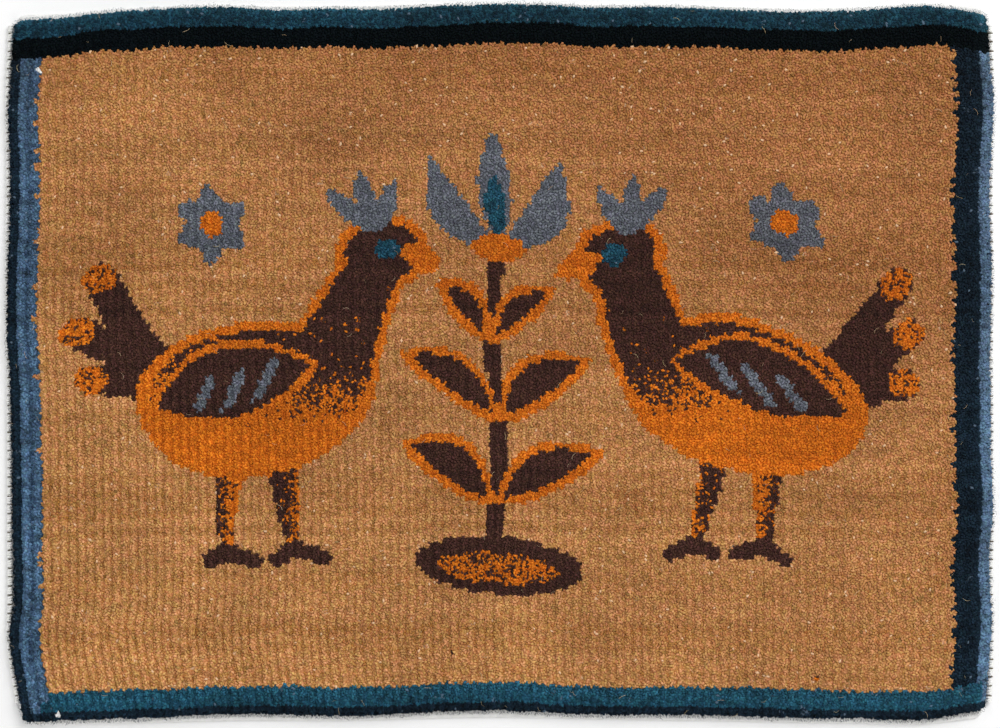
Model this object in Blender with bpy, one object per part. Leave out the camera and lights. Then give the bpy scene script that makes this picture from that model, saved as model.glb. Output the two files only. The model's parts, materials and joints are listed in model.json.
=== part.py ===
"""A small hand-knotted wool rug, lying flat on its back with its pile upwards.

X runs across the rug, along the wefts. Y runs along the warps, from the near end to the far end.
The origin is the middle of the rug's box, on the surface that it lies on.
"""

import math
from collections import namedtuple

import bmesh
import bpy

MM = 0.001

# The box of the whole rug
RUG_LENGTH = 600 * MM
RUG_WIDTH = 438 * MM
HALF_LENGTH = RUG_LENGTH / 2
HALF_WIDTH = RUG_WIDTH / 2

# Heights above the floor
GROUND_TOP = 2.4 * MM
PILE_ROOT = 3.4 * MM
PILE_WIDEST = 6.8 * MM
PILE_SHOULDER = 8.6 * MM
PILE_EDGE = 9.6 * MM
PILE_TOP = 10.2 * MM

# How far each height of the pile lies inside the pile's outline
ROOT_INSET = 2.8 * MM
SHOULDER_INSET = 0.9 * MM
EDGE_INSET = 2.8 * MM
CROWN_INSET = 7.0 * MM

# The rug's knots: one knot is a step of the column along X and of the row along Y
KNOT_COLUMNS = 111
KNOT_ROWS = 77
FIELD_COLUMNS = 105
FIELD_ROWS = 70
LEFT_BORDER_COLUMNS = 3
NEAR_BORDER_ROWS = 3
RIB_HEIGHT = 0.5 * MM
FIELD_BANDS = 12

# Slow unevenness of the pile's top
SWELL_HEIGHT = 0.35 * MM
SWELL_LENGTH_X = 210 * MM
SWELL_LENGTH_Y = 150 * MM

# The overcast cord along each side
CORD_RADIUS = 2.3 * MM
WRAP_GROOVE = 0.35 * MM
CORD_SIDES = 8
CORD_END_Y = 206 * MM
CORD_WRAPS = 75
CORD_END_SHRINK = 0.55
GAP = 0.35 * MM

# Corners, and how finely the outline is divided
CORNER_RADIUS = 9 * MM
CORNER_STEPS = 4
SIDE_STEPS = 36
END_STEPS = 44

# How far each edge lies inside the rug's box, in millimetres, at stations up each side.
# "pile" is where the pile reaches, and "cord" is the outside of the overcast cord.
SideSection = namedtuple("SideSection", "y left_pile left_cord right_pile right_cord")
SIDE_SECTIONS = (
    SideSection(y=-219, left_pile=10.5, left_cord=7.0, right_pile=6.0, right_cord=3.0),
    SideSection(y=-203, left_pile=9.8, left_cord=6.0, right_pile=5.0, right_cord=1.6),
    SideSection(y=-186, left_pile=6.8, left_cord=3.2, right_pile=3.6, right_cord=0.8),
    SideSection(y=-166, left_pile=3.4, left_cord=0.9, right_pile=2.4, right_cord=0.2),
    SideSection(y=-147, left_pile=6.2, left_cord=1.2, right_pile=3.7, right_cord=0.5),
    SideSection(y=-124, left_pile=6.5, left_cord=1.4, right_pile=4.3, right_cord=0.8),
    SideSection(y=-98, left_pile=5.7, left_cord=1.2, right_pile=1.7, right_cord=0.0),
    SideSection(y=-60, left_pile=5.6, left_cord=1.2, right_pile=3.2, right_cord=0.4),
    SideSection(y=-25, left_pile=4.8, left_cord=1.0, right_pile=3.3, right_cord=0.5),
    SideSection(y=0, left_pile=4.3, left_cord=0.8, right_pile=3.8, right_cord=0.6),
    SideSection(y=26, left_pile=2.4, left_cord=0.0, right_pile=3.2, right_cord=0.5),
    SideSection(y=65, left_pile=2.7, left_cord=0.2, right_pile=2.8, right_cord=0.3),
    SideSection(y=105, left_pile=4.2, left_cord=0.6, right_pile=4.2, right_cord=0.8),
    SideSection(y=148, left_pile=4.2, left_cord=0.4, right_pile=2.3, right_cord=0.2),
    SideSection(y=170, left_pile=2.9, left_cord=0.3, right_pile=1.2, right_cord=0.0),
    SideSection(y=190, left_pile=4.6, left_cord=1.4, right_pile=3.3, right_cord=0.4),
    SideSection(y=219, left_pile=5.6, left_cord=2.4, right_pile=5.2, right_cord=2.0),
)

# The same for the two ends. "band" is the edge of the short flat-woven end.
EndSection = namedtuple("EndSection", "x near_pile near_band far_pile far_band")
END_SECTIONS = (
    EndSection(x=-300, near_pile=2.4, near_band=0.8, far_pile=11.0, far_band=7.5),
    EndSection(x=-276, near_pile=3.4, near_band=0.6, far_pile=10.0, far_band=6.5),
    EndSection(x=-250, near_pile=4.0, near_band=0.8, far_pile=6.6, far_band=4.2),
    EndSection(x=-224, near_pile=5.0, near_band=1.4, far_pile=5.0, far_band=2.8),
    EndSection(x=-173, near_pile=7.0, near_band=2.6, far_pile=2.9, far_band=1.2),
    EndSection(x=-145, near_pile=7.0, near_band=2.6, far_pile=4.9, far_band=2.2),
    EndSection(x=-105, near_pile=5.9, near_band=2.4, far_pile=4.3, far_band=1.8),
    EndSection(x=-75, near_pile=7.0, near_band=3.2, far_pile=4.6, far_band=1.6),
    EndSection(x=-38, near_pile=8.8, near_band=4.2, far_pile=2.5, far_band=0.6),
    EndSection(x=2, near_pile=9.2, near_band=4.6, far_pile=1.5, far_band=0.0),
    EndSection(x=30, near_pile=7.8, near_band=4.0, far_pile=1.9, far_band=0.3),
    EndSection(x=56, near_pile=6.6, near_band=3.4, far_pile=3.6, far_band=1.2),
    EndSection(x=98, near_pile=6.8, near_band=2.8, far_pile=3.1, far_band=1.0),
    EndSection(x=140, near_pile=6.0, near_band=2.2, far_pile=4.7, far_band=2.2),
    EndSection(x=180, near_pile=4.9, near_band=1.4, far_pile=6.2, far_band=3.4),
    EndSection(x=229, near_pile=4.3, near_band=0.8, far_pile=4.9, far_band=2.6),
    EndSection(x=266, near_pile=3.6, near_band=0.0, far_pile=2.3, far_band=0.2),
    EndSection(x=284, near_pile=6.6, near_band=1.8, far_pile=4.6, far_band=0.8),
    EndSection(x=300, near_pile=8.4, near_band=3.6, far_pile=7.6, far_band=2.4),
)


def read_table(sections, along, column, place):
    """The value of a column at a place, on a smooth curve through the table's rows."""
    stations = [getattr(row, along) * MM for row in sections]
    values = [getattr(row, column) * MM for row in sections]
    last = len(stations) - 1
    place = min(max(place, stations[0]), stations[last])
    low = max(i for i in range(last) if stations[i] <= place)

    def slope(i):
        before, after = max(i - 1, 0), min(i + 1, last)
        return (values[after] - values[before]) / (stations[after] - stations[before])

    span = stations[low + 1] - stations[low]
    share = (place - stations[low]) / span
    rest = 1 - share
    return (
        values[low] * (1 + 2 * share) * rest**2
        + values[low + 1] * (1 + 2 * rest) * share**2
        + (slope(low) * rest - slope(low + 1) * share) * span * share * rest
    )


def left_edge(y, line):
    """X of the left edge at height y. The line is "pile" or "cord"."""
    return -HALF_LENGTH + read_table(SIDE_SECTIONS, "y", "left_" + line, y)


def right_edge(y, line):
    """X of the right edge at height y."""
    return HALF_LENGTH - read_table(SIDE_SECTIONS, "y", "right_" + line, y)


def near_edge(x, line):
    """Y of the near end at x. The line is "pile" or "band"."""
    return -HALF_WIDTH + read_table(END_SECTIONS, "x", "near_" + line, x)


def far_edge(x, line):
    """Y of the far end at x."""
    return HALF_WIDTH - read_table(END_SECTIONS, "x", "far_" + line, x)


def warp(across, along, side_line, end_line, side_margin=0.0, end_margin=0.0):
    """A point of the rug from its shares across and along, each from -1 to 1."""
    x, y = across * HALF_LENGTH, along * HALF_WIDTH
    left = left_edge(y, side_line) + side_margin
    right = right_edge(y, side_line) - side_margin
    near = near_edge(x, end_line) + end_margin
    far = far_edge(x, end_line) - end_margin
    return (
        left + (right - left) * (across + 1) / 2,
        near + (far - near) * (along + 1) / 2,
    )


def round_corners(inset):
    """Shares across and along of a closed ring with round corners, an inset inside the box."""
    reach_x, reach_y = HALF_LENGTH - inset, HALF_WIDTH - inset
    radius = max(CORNER_RADIUS - inset, 1 * MM)
    ring = []
    corners = ((1, -1), (1, 1), (-1, 1), (-1, -1))
    for turn, (side_x, side_y) in enumerate(corners):
        centre_x = side_x * (reach_x - radius)
        centre_y = side_y * (reach_y - radius)
        for step in range(CORNER_STEPS + 1):
            angle = math.pi / 2 * (turn - 1 + step / CORNER_STEPS)
            ring.append((centre_x + radius * math.cos(angle), centre_y + radius * math.sin(angle)))
        start_x, start_y = ring[-1]
        next_x, next_y = corners[(turn + 1) % 4]
        along_side = next_x == side_x
        steps = SIDE_STEPS if along_side else END_STEPS
        end_x = start_x if along_side else next_x * (reach_x - radius)
        end_y = next_y * (reach_y - radius) if along_side else start_y
        for step in range(1, steps):
            share = step / steps
            ring.append((start_x + (end_x - start_x) * share, start_y + (end_y - start_y) * share))
    return [(x / HALF_LENGTH, y / HALF_WIDTH) for x, y in ring]


def swell(x, y):
    """Slow unevenness of the pile's top at a point."""
    return SWELL_HEIGHT * (
        math.sin(2 * math.pi * x / SWELL_LENGTH_X + 0.7)
        * math.cos(2 * math.pi * y / SWELL_LENGTH_Y + 0.4)
    )


def add_ring(mesh, points):
    """Vertices of one closed ring, in order, and the edges between them."""
    verts = [mesh.verts.new(point) for point in points]
    edges = [
        mesh.edges.new((verts[i], verts[(i + 1) % len(verts)])) for i in range(len(verts))
    ]
    return verts, edges


def bridge(mesh, lower, upper):
    """Faces between two rings that have the same number of points."""
    count = len(lower)
    for i in range(count):
        j = (i + 1) % count
        mesh.faces.new((lower[i], lower[j], upper[j], upper[i]))


def ground_ring(height, end_line="band", end_margin=0.0):
    """An outline that keeps inside the side cords, and reaches a line at the ends."""
    beside_cord = 2 * CORD_RADIUS + GAP
    return [
        (*warp(across, along, "cord", end_line, beside_cord, end_margin), height)
        for across, along in round_corners(0)
    ]


def pile_ring(inset, height, uneven=False):
    """The pile's outline, an inset inside where it reaches, at one height."""
    points = []
    for across, along in round_corners(inset):
        x, y = warp(across, along, "pile", "pile")
        points.append((x, y, height + (swell(x, y) if uneven else 0)))
    return points


def add_ribbed_field(mesh):
    """The field's top, with a low rib along each column of knots. It gives its outer ring."""
    first_column = LEFT_BORDER_COLUMNS / KNOT_COLUMNS
    first_row = NEAR_BORDER_ROWS / KNOT_ROWS
    field_width = FIELD_COLUMNS / KNOT_COLUMNS
    field_depth = FIELD_ROWS / KNOT_ROWS
    columns = 2 * FIELD_COLUMNS
    grid = []
    for band in range(FIELD_BANDS + 1):
        along = 2 * (first_row + field_depth * band / FIELD_BANDS) - 1
        line = []
        for column in range(columns + 1):
            across = 2 * (first_column + field_width * column / columns) - 1
            x, y = warp(across, along, "pile", "pile")
            rim = band in (0, FIELD_BANDS) or column in (0, columns)
            drop = RIB_HEIGHT if column % 2 == 0 and not rim else 0
            line.append(mesh.verts.new((x, y, PILE_TOP + swell(x, y) - drop)))
        grid.append(line)
    for lower, upper in zip(grid, grid[1:]):
        for i in range(columns):
            mesh.faces.new((lower[i], lower[i + 1], upper[i + 1], upper[i]))
    rim = grid[0] + [line[-1] for line in grid[1:]]
    rim += grid[-1][-2::-1] + [line[0] for line in grid[-2:0:-1]]
    return [mesh.edges.get((rim[i], rim[(i + 1) % len(rim)])) for i in range(len(rim))]


def make_material(name, colour, roughness):
    """A plain cloth finish."""
    material = bpy.data.materials.new(name)
    material.use_nodes = True
    shader = material.node_tree.nodes["Principled BSDF"]
    shader.inputs["Base Color"].default_value = (*colour, 1)
    shader.inputs["Roughness"].default_value = roughness
    shader.inputs["Metallic"].default_value = 0
    return material


def add_object(name, mesh, material):
    """Turns a finished bmesh into a named object."""
    bmesh.ops.recalc_face_normals(mesh, faces=mesh.faces)
    data = bpy.data.meshes.new(name)
    mesh.to_mesh(data)
    mesh.free()
    data.materials.append(material)
    obj = bpy.data.objects.new(name, data)
    bpy.context.scene.collection.objects.link(obj)
    return obj


def make_rug_body(material):
    """The woven ground and the pile on it, one closed solid with a flat underside."""
    mesh = bmesh.new()
    outlines = (
        ground_ring(0),
        ground_ring(GROUND_TOP),
        ground_ring(PILE_ROOT, "pile", ROOT_INSET),
        pile_ring(0, PILE_WIDEST),
        pile_ring(SHOULDER_INSET, PILE_SHOULDER),
        pile_ring(EDGE_INSET, PILE_EDGE),
        pile_ring(CROWN_INSET, PILE_TOP, uneven=True),
    )
    rings = [add_ring(mesh, points) for points in outlines]
    mesh.faces.new(rings[0][0])
    for (lower, _), (upper, _) in zip(rings, rings[1:]):
        bridge(mesh, lower, upper)
    field_rim = add_ribbed_field(mesh)
    bmesh.ops.bridge_loops(mesh, edges=rings[-1][1] + field_rim)
    return add_object("rug_body", mesh, material)


def make_side_cord(name, side, material):
    """An overcast cord along one side: a bead for each wrap and a groove between wraps."""
    edge = left_edge if side < 0 else right_edge
    mesh = bmesh.new()
    steps = 2 * CORD_WRAPS
    lift = CORD_RADIUS * math.cos(math.pi / CORD_SIDES)
    rings = []
    for step in range(steps + 1):
        y = CORD_END_Y * (2 * step / steps - 1)
        at_end = step in (0, steps)
        groove = WRAP_GROOVE if step % 2 == 0 else 0
        radius = CORD_RADIUS * CORD_END_SHRINK if at_end else CORD_RADIUS - groove
        x = edge(y, "cord") - side * CORD_RADIUS
        points = []
        for corner in range(CORD_SIDES):
            angle = 2 * math.pi * (corner + 0.5) / CORD_SIDES
            points.append((x + radius * math.cos(angle), y, lift + radius * math.sin(angle)))
        rings.append(add_ring(mesh, points)[0])
    mesh.faces.new(rings[0])
    mesh.faces.new(rings[-1])
    for lower, upper in zip(rings, rings[1:]):
        bridge(mesh, lower, upper)
    return add_object(name, mesh, material)


def main():
    for old in list(bpy.data.objects):
        bpy.data.objects.remove(old)
    wool = make_material("field wool", (0.34, 0.15, 0.055), 0.95)
    ivory = make_material("ivory yarn", (0.78, 0.74, 0.66), 0.9)
    make_rug_body(wool)
    make_side_cord("side_cord_left", -1, ivory)
    make_side_cord("side_cord_right", 1, ivory)


main()
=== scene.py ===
"""The finish of a small hand-knotted wool rug that lies flat with its pile upwards.

Lengths are in metres. X runs across the rug, along its wefts, and Y runs along its warps.
The pile is made ply by ply: each knot of the chart holds a handful of cut plies of one yarn.
"""

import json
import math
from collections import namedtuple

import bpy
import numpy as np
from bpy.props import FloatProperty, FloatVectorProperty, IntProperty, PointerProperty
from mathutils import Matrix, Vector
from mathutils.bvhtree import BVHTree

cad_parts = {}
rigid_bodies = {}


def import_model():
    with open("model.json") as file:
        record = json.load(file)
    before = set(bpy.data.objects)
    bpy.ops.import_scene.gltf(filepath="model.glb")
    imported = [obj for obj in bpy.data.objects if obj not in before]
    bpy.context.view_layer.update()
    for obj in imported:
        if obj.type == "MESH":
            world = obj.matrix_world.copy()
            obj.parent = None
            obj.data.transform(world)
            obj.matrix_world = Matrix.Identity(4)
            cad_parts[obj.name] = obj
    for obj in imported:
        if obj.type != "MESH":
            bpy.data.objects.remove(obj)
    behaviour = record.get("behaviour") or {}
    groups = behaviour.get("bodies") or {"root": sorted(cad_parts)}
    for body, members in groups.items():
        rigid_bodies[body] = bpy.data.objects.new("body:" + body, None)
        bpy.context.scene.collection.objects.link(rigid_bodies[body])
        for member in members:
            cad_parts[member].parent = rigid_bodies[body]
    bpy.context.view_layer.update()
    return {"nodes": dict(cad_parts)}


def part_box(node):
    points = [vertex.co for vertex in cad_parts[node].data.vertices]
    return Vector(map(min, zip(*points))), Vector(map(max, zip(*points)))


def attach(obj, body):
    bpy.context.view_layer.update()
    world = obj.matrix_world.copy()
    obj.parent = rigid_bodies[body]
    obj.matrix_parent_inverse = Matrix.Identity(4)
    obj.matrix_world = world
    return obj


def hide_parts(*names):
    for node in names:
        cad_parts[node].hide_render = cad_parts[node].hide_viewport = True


bl_info = {
    "name": "Knotted Wool Rug",
    "version": (1, 0, 0),
    "blender": (4, 5, 0),
    "location": "3D View > Sidebar > Rug",
    "description": "Makes the pile, the woven ground, the side cords and the stage of a small rug",
    "category": "Object",
}

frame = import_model()

MM = 0.001
BODY = "root"

# The knots of the rug, and the stripes round its field
KNOT_COLUMNS = 111
KNOT_ROWS = 77
LEFT_BORDER = 3
RIGHT_BORDER = 3
NEAR_BORDER = 3
FAR_BORDER = 4

# The yarns, as numbers on the chart
FIELD, BROWN, ORANGE, GREY, SLATE, TEAL, NAVY, BLACK, IVORY, SHADED_WEFT, CREAM = range(11)
YarnRow = namedtuple("YarnRow", "name slot")
YARNS = (
    YarnRow(name="field", slot="field_wool"),
    YarnRow(name="brown", slot="brown_wool"),
    YarnRow(name="orange", slot="orange_wool"),
    YarnRow(name="grey", slot="slate_wool"),
    YarnRow(name="slate", slot="slate_wool"),
    YarnRow(name="teal", slot="teal_wool"),
    YarnRow(name="navy", slot="navy_wool"),
    YarnRow(name="black", slot="navy_wool"),
    YarnRow(name="ivory", slot="ivory_yarn"),
    YarnRow(name="weft", slot="brown_wool"),
    YarnRow(name="cream", slot="field_wool"),
)


# Settings that a user would change


def length_setting(name, description, millimetres):
    return FloatProperty(
        name=name, description=description, default=millimetres * MM, min=0, subtype="DISTANCE"
    )


def share_setting(name, description, default):
    return FloatProperty(
        name=name, description=description, default=default, min=0, max=1, subtype="FACTOR"
    )


def to_linear(channel):
    """A display value from 0 to 255 as the light that it stands for."""
    value = channel / 255
    return value / 12.92 if value <= 0.04045 else ((value + 0.055) / 1.055) ** 2.4


def colour_setting(name, description, display):
    return FloatVectorProperty(
        name=name,
        description=description,
        default=tuple(to_linear(channel) for channel in display),
        min=0,
        max=1,
        subtype="COLOR",
    )


class PileSettings(bpy.types.PropertyGroup):
    """Sizes of the knotted pile."""

    seed: IntProperty(name="Seed", description="Start of the random draws", default=7, min=0)
    ply_spacing: length_setting("Ply spacing", "Least distance between two cut plies", 1.25)
    ply_width: length_setting("Ply width", "Width of one cut ply", 2.75)
    ply_length: length_setting("Ply length", "Length of a ply of the field that stands free", 3.6)
    height_drop: length_setting("Uneven cut", "Most that a ply is shorter than its neighbour", 0.26)
    rib_drop: length_setting("Rib depth", "How far the pile dips between two columns", 1.4)
    # Rib shade is painted shade on the plies between two columns of knots
    rib_shade: share_setting("Rib shade", "How much darker the wool between two columns is", 0.5)
    tilt: share_setting("Tilt", "How far the plies lean at random", 0.24)
    core_depth: length_setting("Core depth", "How far the closed wool lies under the tips", 1.4)
    hair_spacing: length_setting("Hair spacing", "Least distance between hairs at the rim", 1.2)
    hair_width: length_setting("Hair width", "Thickness of a hair at the rim", 0.24)
    fibre_count: IntProperty(
        name="Stray fibres", description="Loose fibres that lie on the pile", default=380, min=0
    )


class WoolColours(bpy.types.PropertyGroup):
    """Colours of each yarn, at the palest and the darkest plies."""

    field_light: colour_setting("Field, pale", "Palest plies of the tan field", (204, 149, 103))
    field_dark: colour_setting("Field, dark", "Darkest plies of the tan field", (146, 91, 44))
    brown_light: colour_setting("Brown, pale", "Palest plies of the brown wool", (86, 53, 46))
    brown_dark: colour_setting("Brown, dark", "Darkest plies of the brown wool", (38, 19, 17))
    orange_light: colour_setting("Orange, pale", "Palest plies of the orange wool", (238, 136, 34))
    orange_dark: colour_setting("Orange, dark", "Darkest plies of the orange wool", (160, 72, 6))
    grey_light: colour_setting("Grey, pale", "Palest plies of the grey wool", (128, 132, 144))
    grey_dark: colour_setting("Grey, dark", "Darkest plies of the grey wool", (52, 54, 64))
    slate_light: colour_setting("Slate, pale", "Palest plies of the slate wool", (90, 116, 145))
    slate_dark: colour_setting("Slate, dark", "Darkest plies of the slate wool", (32, 50, 73))
    teal_light: colour_setting("Teal, pale", "Palest plies of the teal wool", (42, 94, 116))
    teal_dark: colour_setting("Teal, dark", "Darkest plies of the teal wool", (6, 38, 54))
    navy_light: colour_setting("Navy, pale", "Palest plies of the navy wool", (28, 45, 60))
    navy_dark: colour_setting("Navy, dark", "Darkest plies of the navy wool", (4, 12, 20))
    black_light: colour_setting("Black, pale", "Palest plies of the blue-black wool", (10, 20, 24))
    black_dark: colour_setting("Black, dark", "Darkest plies of the blue-black wool", (1, 4, 6))
    ivory_light: colour_setting("Ivory, pale", "Palest strands of the ivory yarn", (255, 255, 254))
    ivory_dark: colour_setting("Ivory, dark", "Darkest strands of the ivory yarn", (240, 240, 239))
    cream_light: colour_setting("Cream, pale", "Palest of the loose fibres", (244, 228, 196))
    cream_dark: colour_setting("Cream, dark", "Darkest of the loose fibres", (206, 172, 124))
    # The weft's turns are coloured dark as painted shade in the gaps between the side cords' wraps
    weft_light: colour_setting("Weft, pale", "Palest turns of the weft", (128, 120, 104))
    weft_dark: colour_setting("Weft, dark", "Darkest turns of the weft", (52, 46, 38))


class EdgeSettings(bpy.types.PropertyGroup):
    """Sizes of the side cords and of the flat-woven ends."""

    wrap_count: IntProperty(
        name="Wraps", description="Overcast wraps along each side, one a row", default=75, min=1
    )
    wrap_strands: IntProperty(
        name="Strands", description="Strands of yarn in one wrap", default=3, min=1
    )
    strand_width: length_setting("Strand width", "Thickness of one strand of a wrap", 1.6)
    strand_pitch: length_setting("Strand pitch", "From one strand of a wrap to the next", 1.45)
    wrap_slant: FloatProperty(
        name="Slant",
        description="How far the wraps lean from square to the cord",
        default=math.radians(14),
        subtype="ANGLE",
    )
    weave_relief: length_setting("Weave relief", "How far the end's strands stand up", 0.3)


class StageSettings(bpy.types.PropertyGroup):
    """Camera, lights and floor."""

    view_width: length_setting("View width", "Width that the picture covers", 604)
    lens: FloatProperty(name="Lens", description="Focal length in millimetres", default=100, min=1)
    key_power: FloatProperty(
        name="Key light", description="Power of the large soft light", default=30, subtype="POWER"
    )
    world_light: FloatProperty(
        name="World light", description="Strength of the even light all round", default=0.8, min=0
    )
    floor_colour: colour_setting("Floor", "Colour of the plain pale floor", (246, 246, 246))


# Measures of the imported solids


def solid_of(node):
    """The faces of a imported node, to be measured with rays."""
    mesh = frame["nodes"][node].data
    points = [vertex.co for vertex in mesh.vertices]
    return BVHTree.FromPolygons(points, [tuple(face.vertices) for face in mesh.polygons])


def first_face(solid, start, way):
    """The point where a ray from outside first meets the solid."""
    place, _, _, _ = solid.ray_cast(Vector(start), Vector(way))
    if place is None:
        raise RuntimeError(f"no face of the packed rug lies on the ray from {start}")
    return place


CORNER_RADIUS = 5 * MM
CLEAR_OF_CORNER = 18 * MM
SIDE_STATIONS = 41
END_STATIONS = 57
OUTSIDE = 0.5
LOW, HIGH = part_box("rug_body")
HALF_LENGTH = max(-LOW[0], HIGH[0])
HALF_WIDTH = max(-LOW[1], HIGH[1])


def beyond_ends(places, values, reach):
    """Adds a station at each end of a measured line, on the line's own slope."""
    first = values[0] + (values[1] - values[0]) / (places[1] - places[0]) * (-reach - places[0])
    last = values[-1] + (values[-1] - values[-2]) / (places[-1] - places[-2]) * (
        reach - places[-1]
    )
    return np.r_[-reach, places, reach], np.r_[first, values, last]


class Outline:
    """The rug's outline at one height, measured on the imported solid."""

    def __init__(self, solid, height):
        clear_y = HALF_WIDTH - CLEAR_OF_CORNER
        clear_x = HALF_LENGTH - CLEAR_OF_CORNER
        side_y = np.linspace(-clear_y, clear_y, SIDE_STATIONS)
        end_x = np.linspace(-clear_x, clear_x, END_STATIONS)
        left = [first_face(solid, (-OUTSIDE, y, height), (1, 0, 0)).x for y in side_y]
        right = [first_face(solid, (OUTSIDE, y, height), (-1, 0, 0)).x for y in side_y]
        near = [first_face(solid, (x, -OUTSIDE, height), (0, 1, 0)).y for x in end_x]
        far = [first_face(solid, (x, OUTSIDE, height), (0, -1, 0)).y for x in end_x]
        self.left = beyond_ends(side_y, np.array(left), HALF_WIDTH)
        self.right = beyond_ends(side_y, np.array(right), HALF_WIDTH)
        self.near = beyond_ends(end_x, np.array(near), HALF_LENGTH)
        self.far = beyond_ends(end_x, np.array(far), HALF_LENGTH)

    def place(self, across, along, side_margin=0.0, end_margin=0.0):
        """Points of the rug from shares across and along, each from -1 to 1."""
        across, along = round_off(across, along)
        x, y = across * HALF_LENGTH, along * HALF_WIDTH
        left = np.interp(y, *self.left) + side_margin
        right = np.interp(y, *self.right) - side_margin
        near = np.interp(x, *self.near) + end_margin
        far = np.interp(x, *self.far) - end_margin
        return (
            left + (right - left) * (across + 1) / 2,
            near + (far - near) * (along + 1) / 2,
        )


def round_off(across, along):
    """Draws the square corners of a plan in to round ones."""
    x, y = across * HALF_LENGTH, along * HALF_WIDTH
    past_x = np.maximum(np.abs(x) - HALF_LENGTH + CORNER_RADIUS, 0) / CORNER_RADIUS
    past_y = np.maximum(np.abs(y) - HALF_WIDTH + CORNER_RADIUS, 0) / CORNER_RADIUS
    reach = np.hypot(past_x, past_y)
    in_corner = (past_x > 0) & (past_y > 0)
    shrink = np.where(in_corner, np.maximum(past_x, past_y) / np.maximum(reach, 1e-9), 1)
    x = np.where(in_corner, np.sign(x) * (HALF_LENGTH - CORNER_RADIUS * (1 - past_x * shrink)), x)
    y = np.where(in_corner, np.sign(y) * (HALF_WIDTH - CORNER_RADIUS * (1 - past_y * shrink)), y)
    return x / HALF_LENGTH, y / HALF_WIDTH


def inset_of(across, along):
    """How far a point of the plan lies inside the outline, and its way out in X and Y."""
    across, along = round_off(across, along)
    x, y = across * HALF_LENGTH, along * HALF_WIDTH
    past_x = np.abs(x) - HALF_LENGTH + CORNER_RADIUS
    past_y = np.abs(y) - HALF_WIDTH + CORNER_RADIUS
    out_x, out_y = np.maximum(past_x, 0), np.maximum(past_y, 0)
    inset = CORNER_RADIUS - np.hypot(out_x, out_y) - np.minimum(np.maximum(past_x, past_y), 0)
    in_side = (out_x == 0) & (out_y == 0)
    out_x = np.where(in_side & (past_x >= past_y), 1.0, out_x)
    out_y = np.where(in_side & (past_x < past_y), 1.0, out_y)
    size = np.maximum(np.hypot(out_x, out_y), 1e-9)
    return inset, np.sign(x) * out_x / size, np.sign(y) * out_y / size


# Heights at which the outline is measured, and the pile's rounded rim on it
PILE_HEIGHT = 6.8 * MM
GROUND_HEIGHT = 1.2 * MM
RIM_INSETS = np.array((0, 0.9, 2.8, 7.0)) * MM
RIM_HEIGHTS = np.array((6.8, 8.6, 9.6, 10.2)) * MM
SWELL_HEIGHT = 0.35 * MM
SWELL_LENGTH_X = 210 * MM
SWELL_LENGTH_Y = 150 * MM
SWELL_START_X = 0.7
SWELL_START_Y = 0.4

RUG_SOLID = solid_of("rug_body")
PILE_LINE = Outline(RUG_SOLID, PILE_HEIGHT)
GROUND_LINE = Outline(RUG_SOLID, GROUND_HEIGHT)


def pile_height(inset, x, y):
    """Height of the cut tips, lower towards the rim and slightly uneven."""
    swell = np.sin(2 * np.pi * x / SWELL_LENGTH_X + SWELL_START_X)
    swell = swell * np.cos(2 * np.pi * y / SWELL_LENGTH_Y + SWELL_START_Y)
    inside = np.clip(inset / RIM_INSETS[-1], 0, 1)
    return np.interp(inset, RIM_INSETS, RIM_HEIGHTS) + SWELL_HEIGHT * swell * inside


# The design, charted in knots: shapes are distances, below zero inside


def oval(x, y, centre, reach, turn=0.0):
    """An ellipse, turned by some degrees anticlockwise."""
    angle = math.radians(turn)
    away_x, away_y = x - centre[0], y - centre[1]
    along = away_x * math.cos(angle) + away_y * math.sin(angle)
    across = away_y * math.cos(angle) - away_x * math.sin(angle)
    share = np.hypot(along / reach[0], across / reach[1])
    return (share - 1) * min(reach)


def limb(x, y, start, end, start_radius, end_radius):
    """A straight limb with round ends, whose thickness changes along it."""
    run_x, run_y = end[0] - start[0], end[1] - start[1]
    share = ((x - start[0]) * run_x + (y - start[1]) * run_y) / (run_x**2 + run_y**2)
    share = np.clip(share, 0, 1)
    away = np.hypot(x - start[0] - share * run_x, y - start[1] - share * run_y)
    return away - (start_radius + (end_radius - start_radius) * share)


def leaf(x, y, start, end, half_width, bend=0.0):
    """A pointed leaf between two points, bent to its left by a share of its length."""
    run_x, run_y = end[0] - start[0], end[1] - start[1]
    length = math.hypot(run_x, run_y)
    along = ((x - start[0]) * run_x + (y - start[1]) * run_y) / length**2
    across = ((y - start[1]) * run_x - (x - start[0]) * run_y) / length
    inside = np.clip(along, 0, 1)
    swell = np.sin(np.pi * inside) ** 0.8
    middle = bend * length * np.sin(np.pi * inside)
    beyond = np.abs(along - inside) * length
    return np.hypot(across - middle, beyond) - half_width * swell


def join(*shapes):
    return np.minimum.reduce(shapes)


def smooth_share(value, low, high):
    """0 at low, 1 at high, and a smooth slope between."""
    share = np.clip((value - low) / (high - low), 0, 1)
    return share * share * (3 - 2 * share)


class Chart:
    """The yarn of each half knot, and the share of its plies that are brown ones."""

    def __init__(self):
        self.yarn = np.full((2 * KNOT_ROWS, 2 * KNOT_COLUMNS), FIELD)
        self.brown = np.zeros((2 * KNOT_ROWS, 2 * KNOT_COLUMNS))

    def fill(self, shape, yarn, brown=0.0, grow=0.0):
        inside = shape < grow
        self.yarn[inside] = yarn
        self.brown[inside] = np.broadcast_to(brown, shape.shape)[inside]


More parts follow.
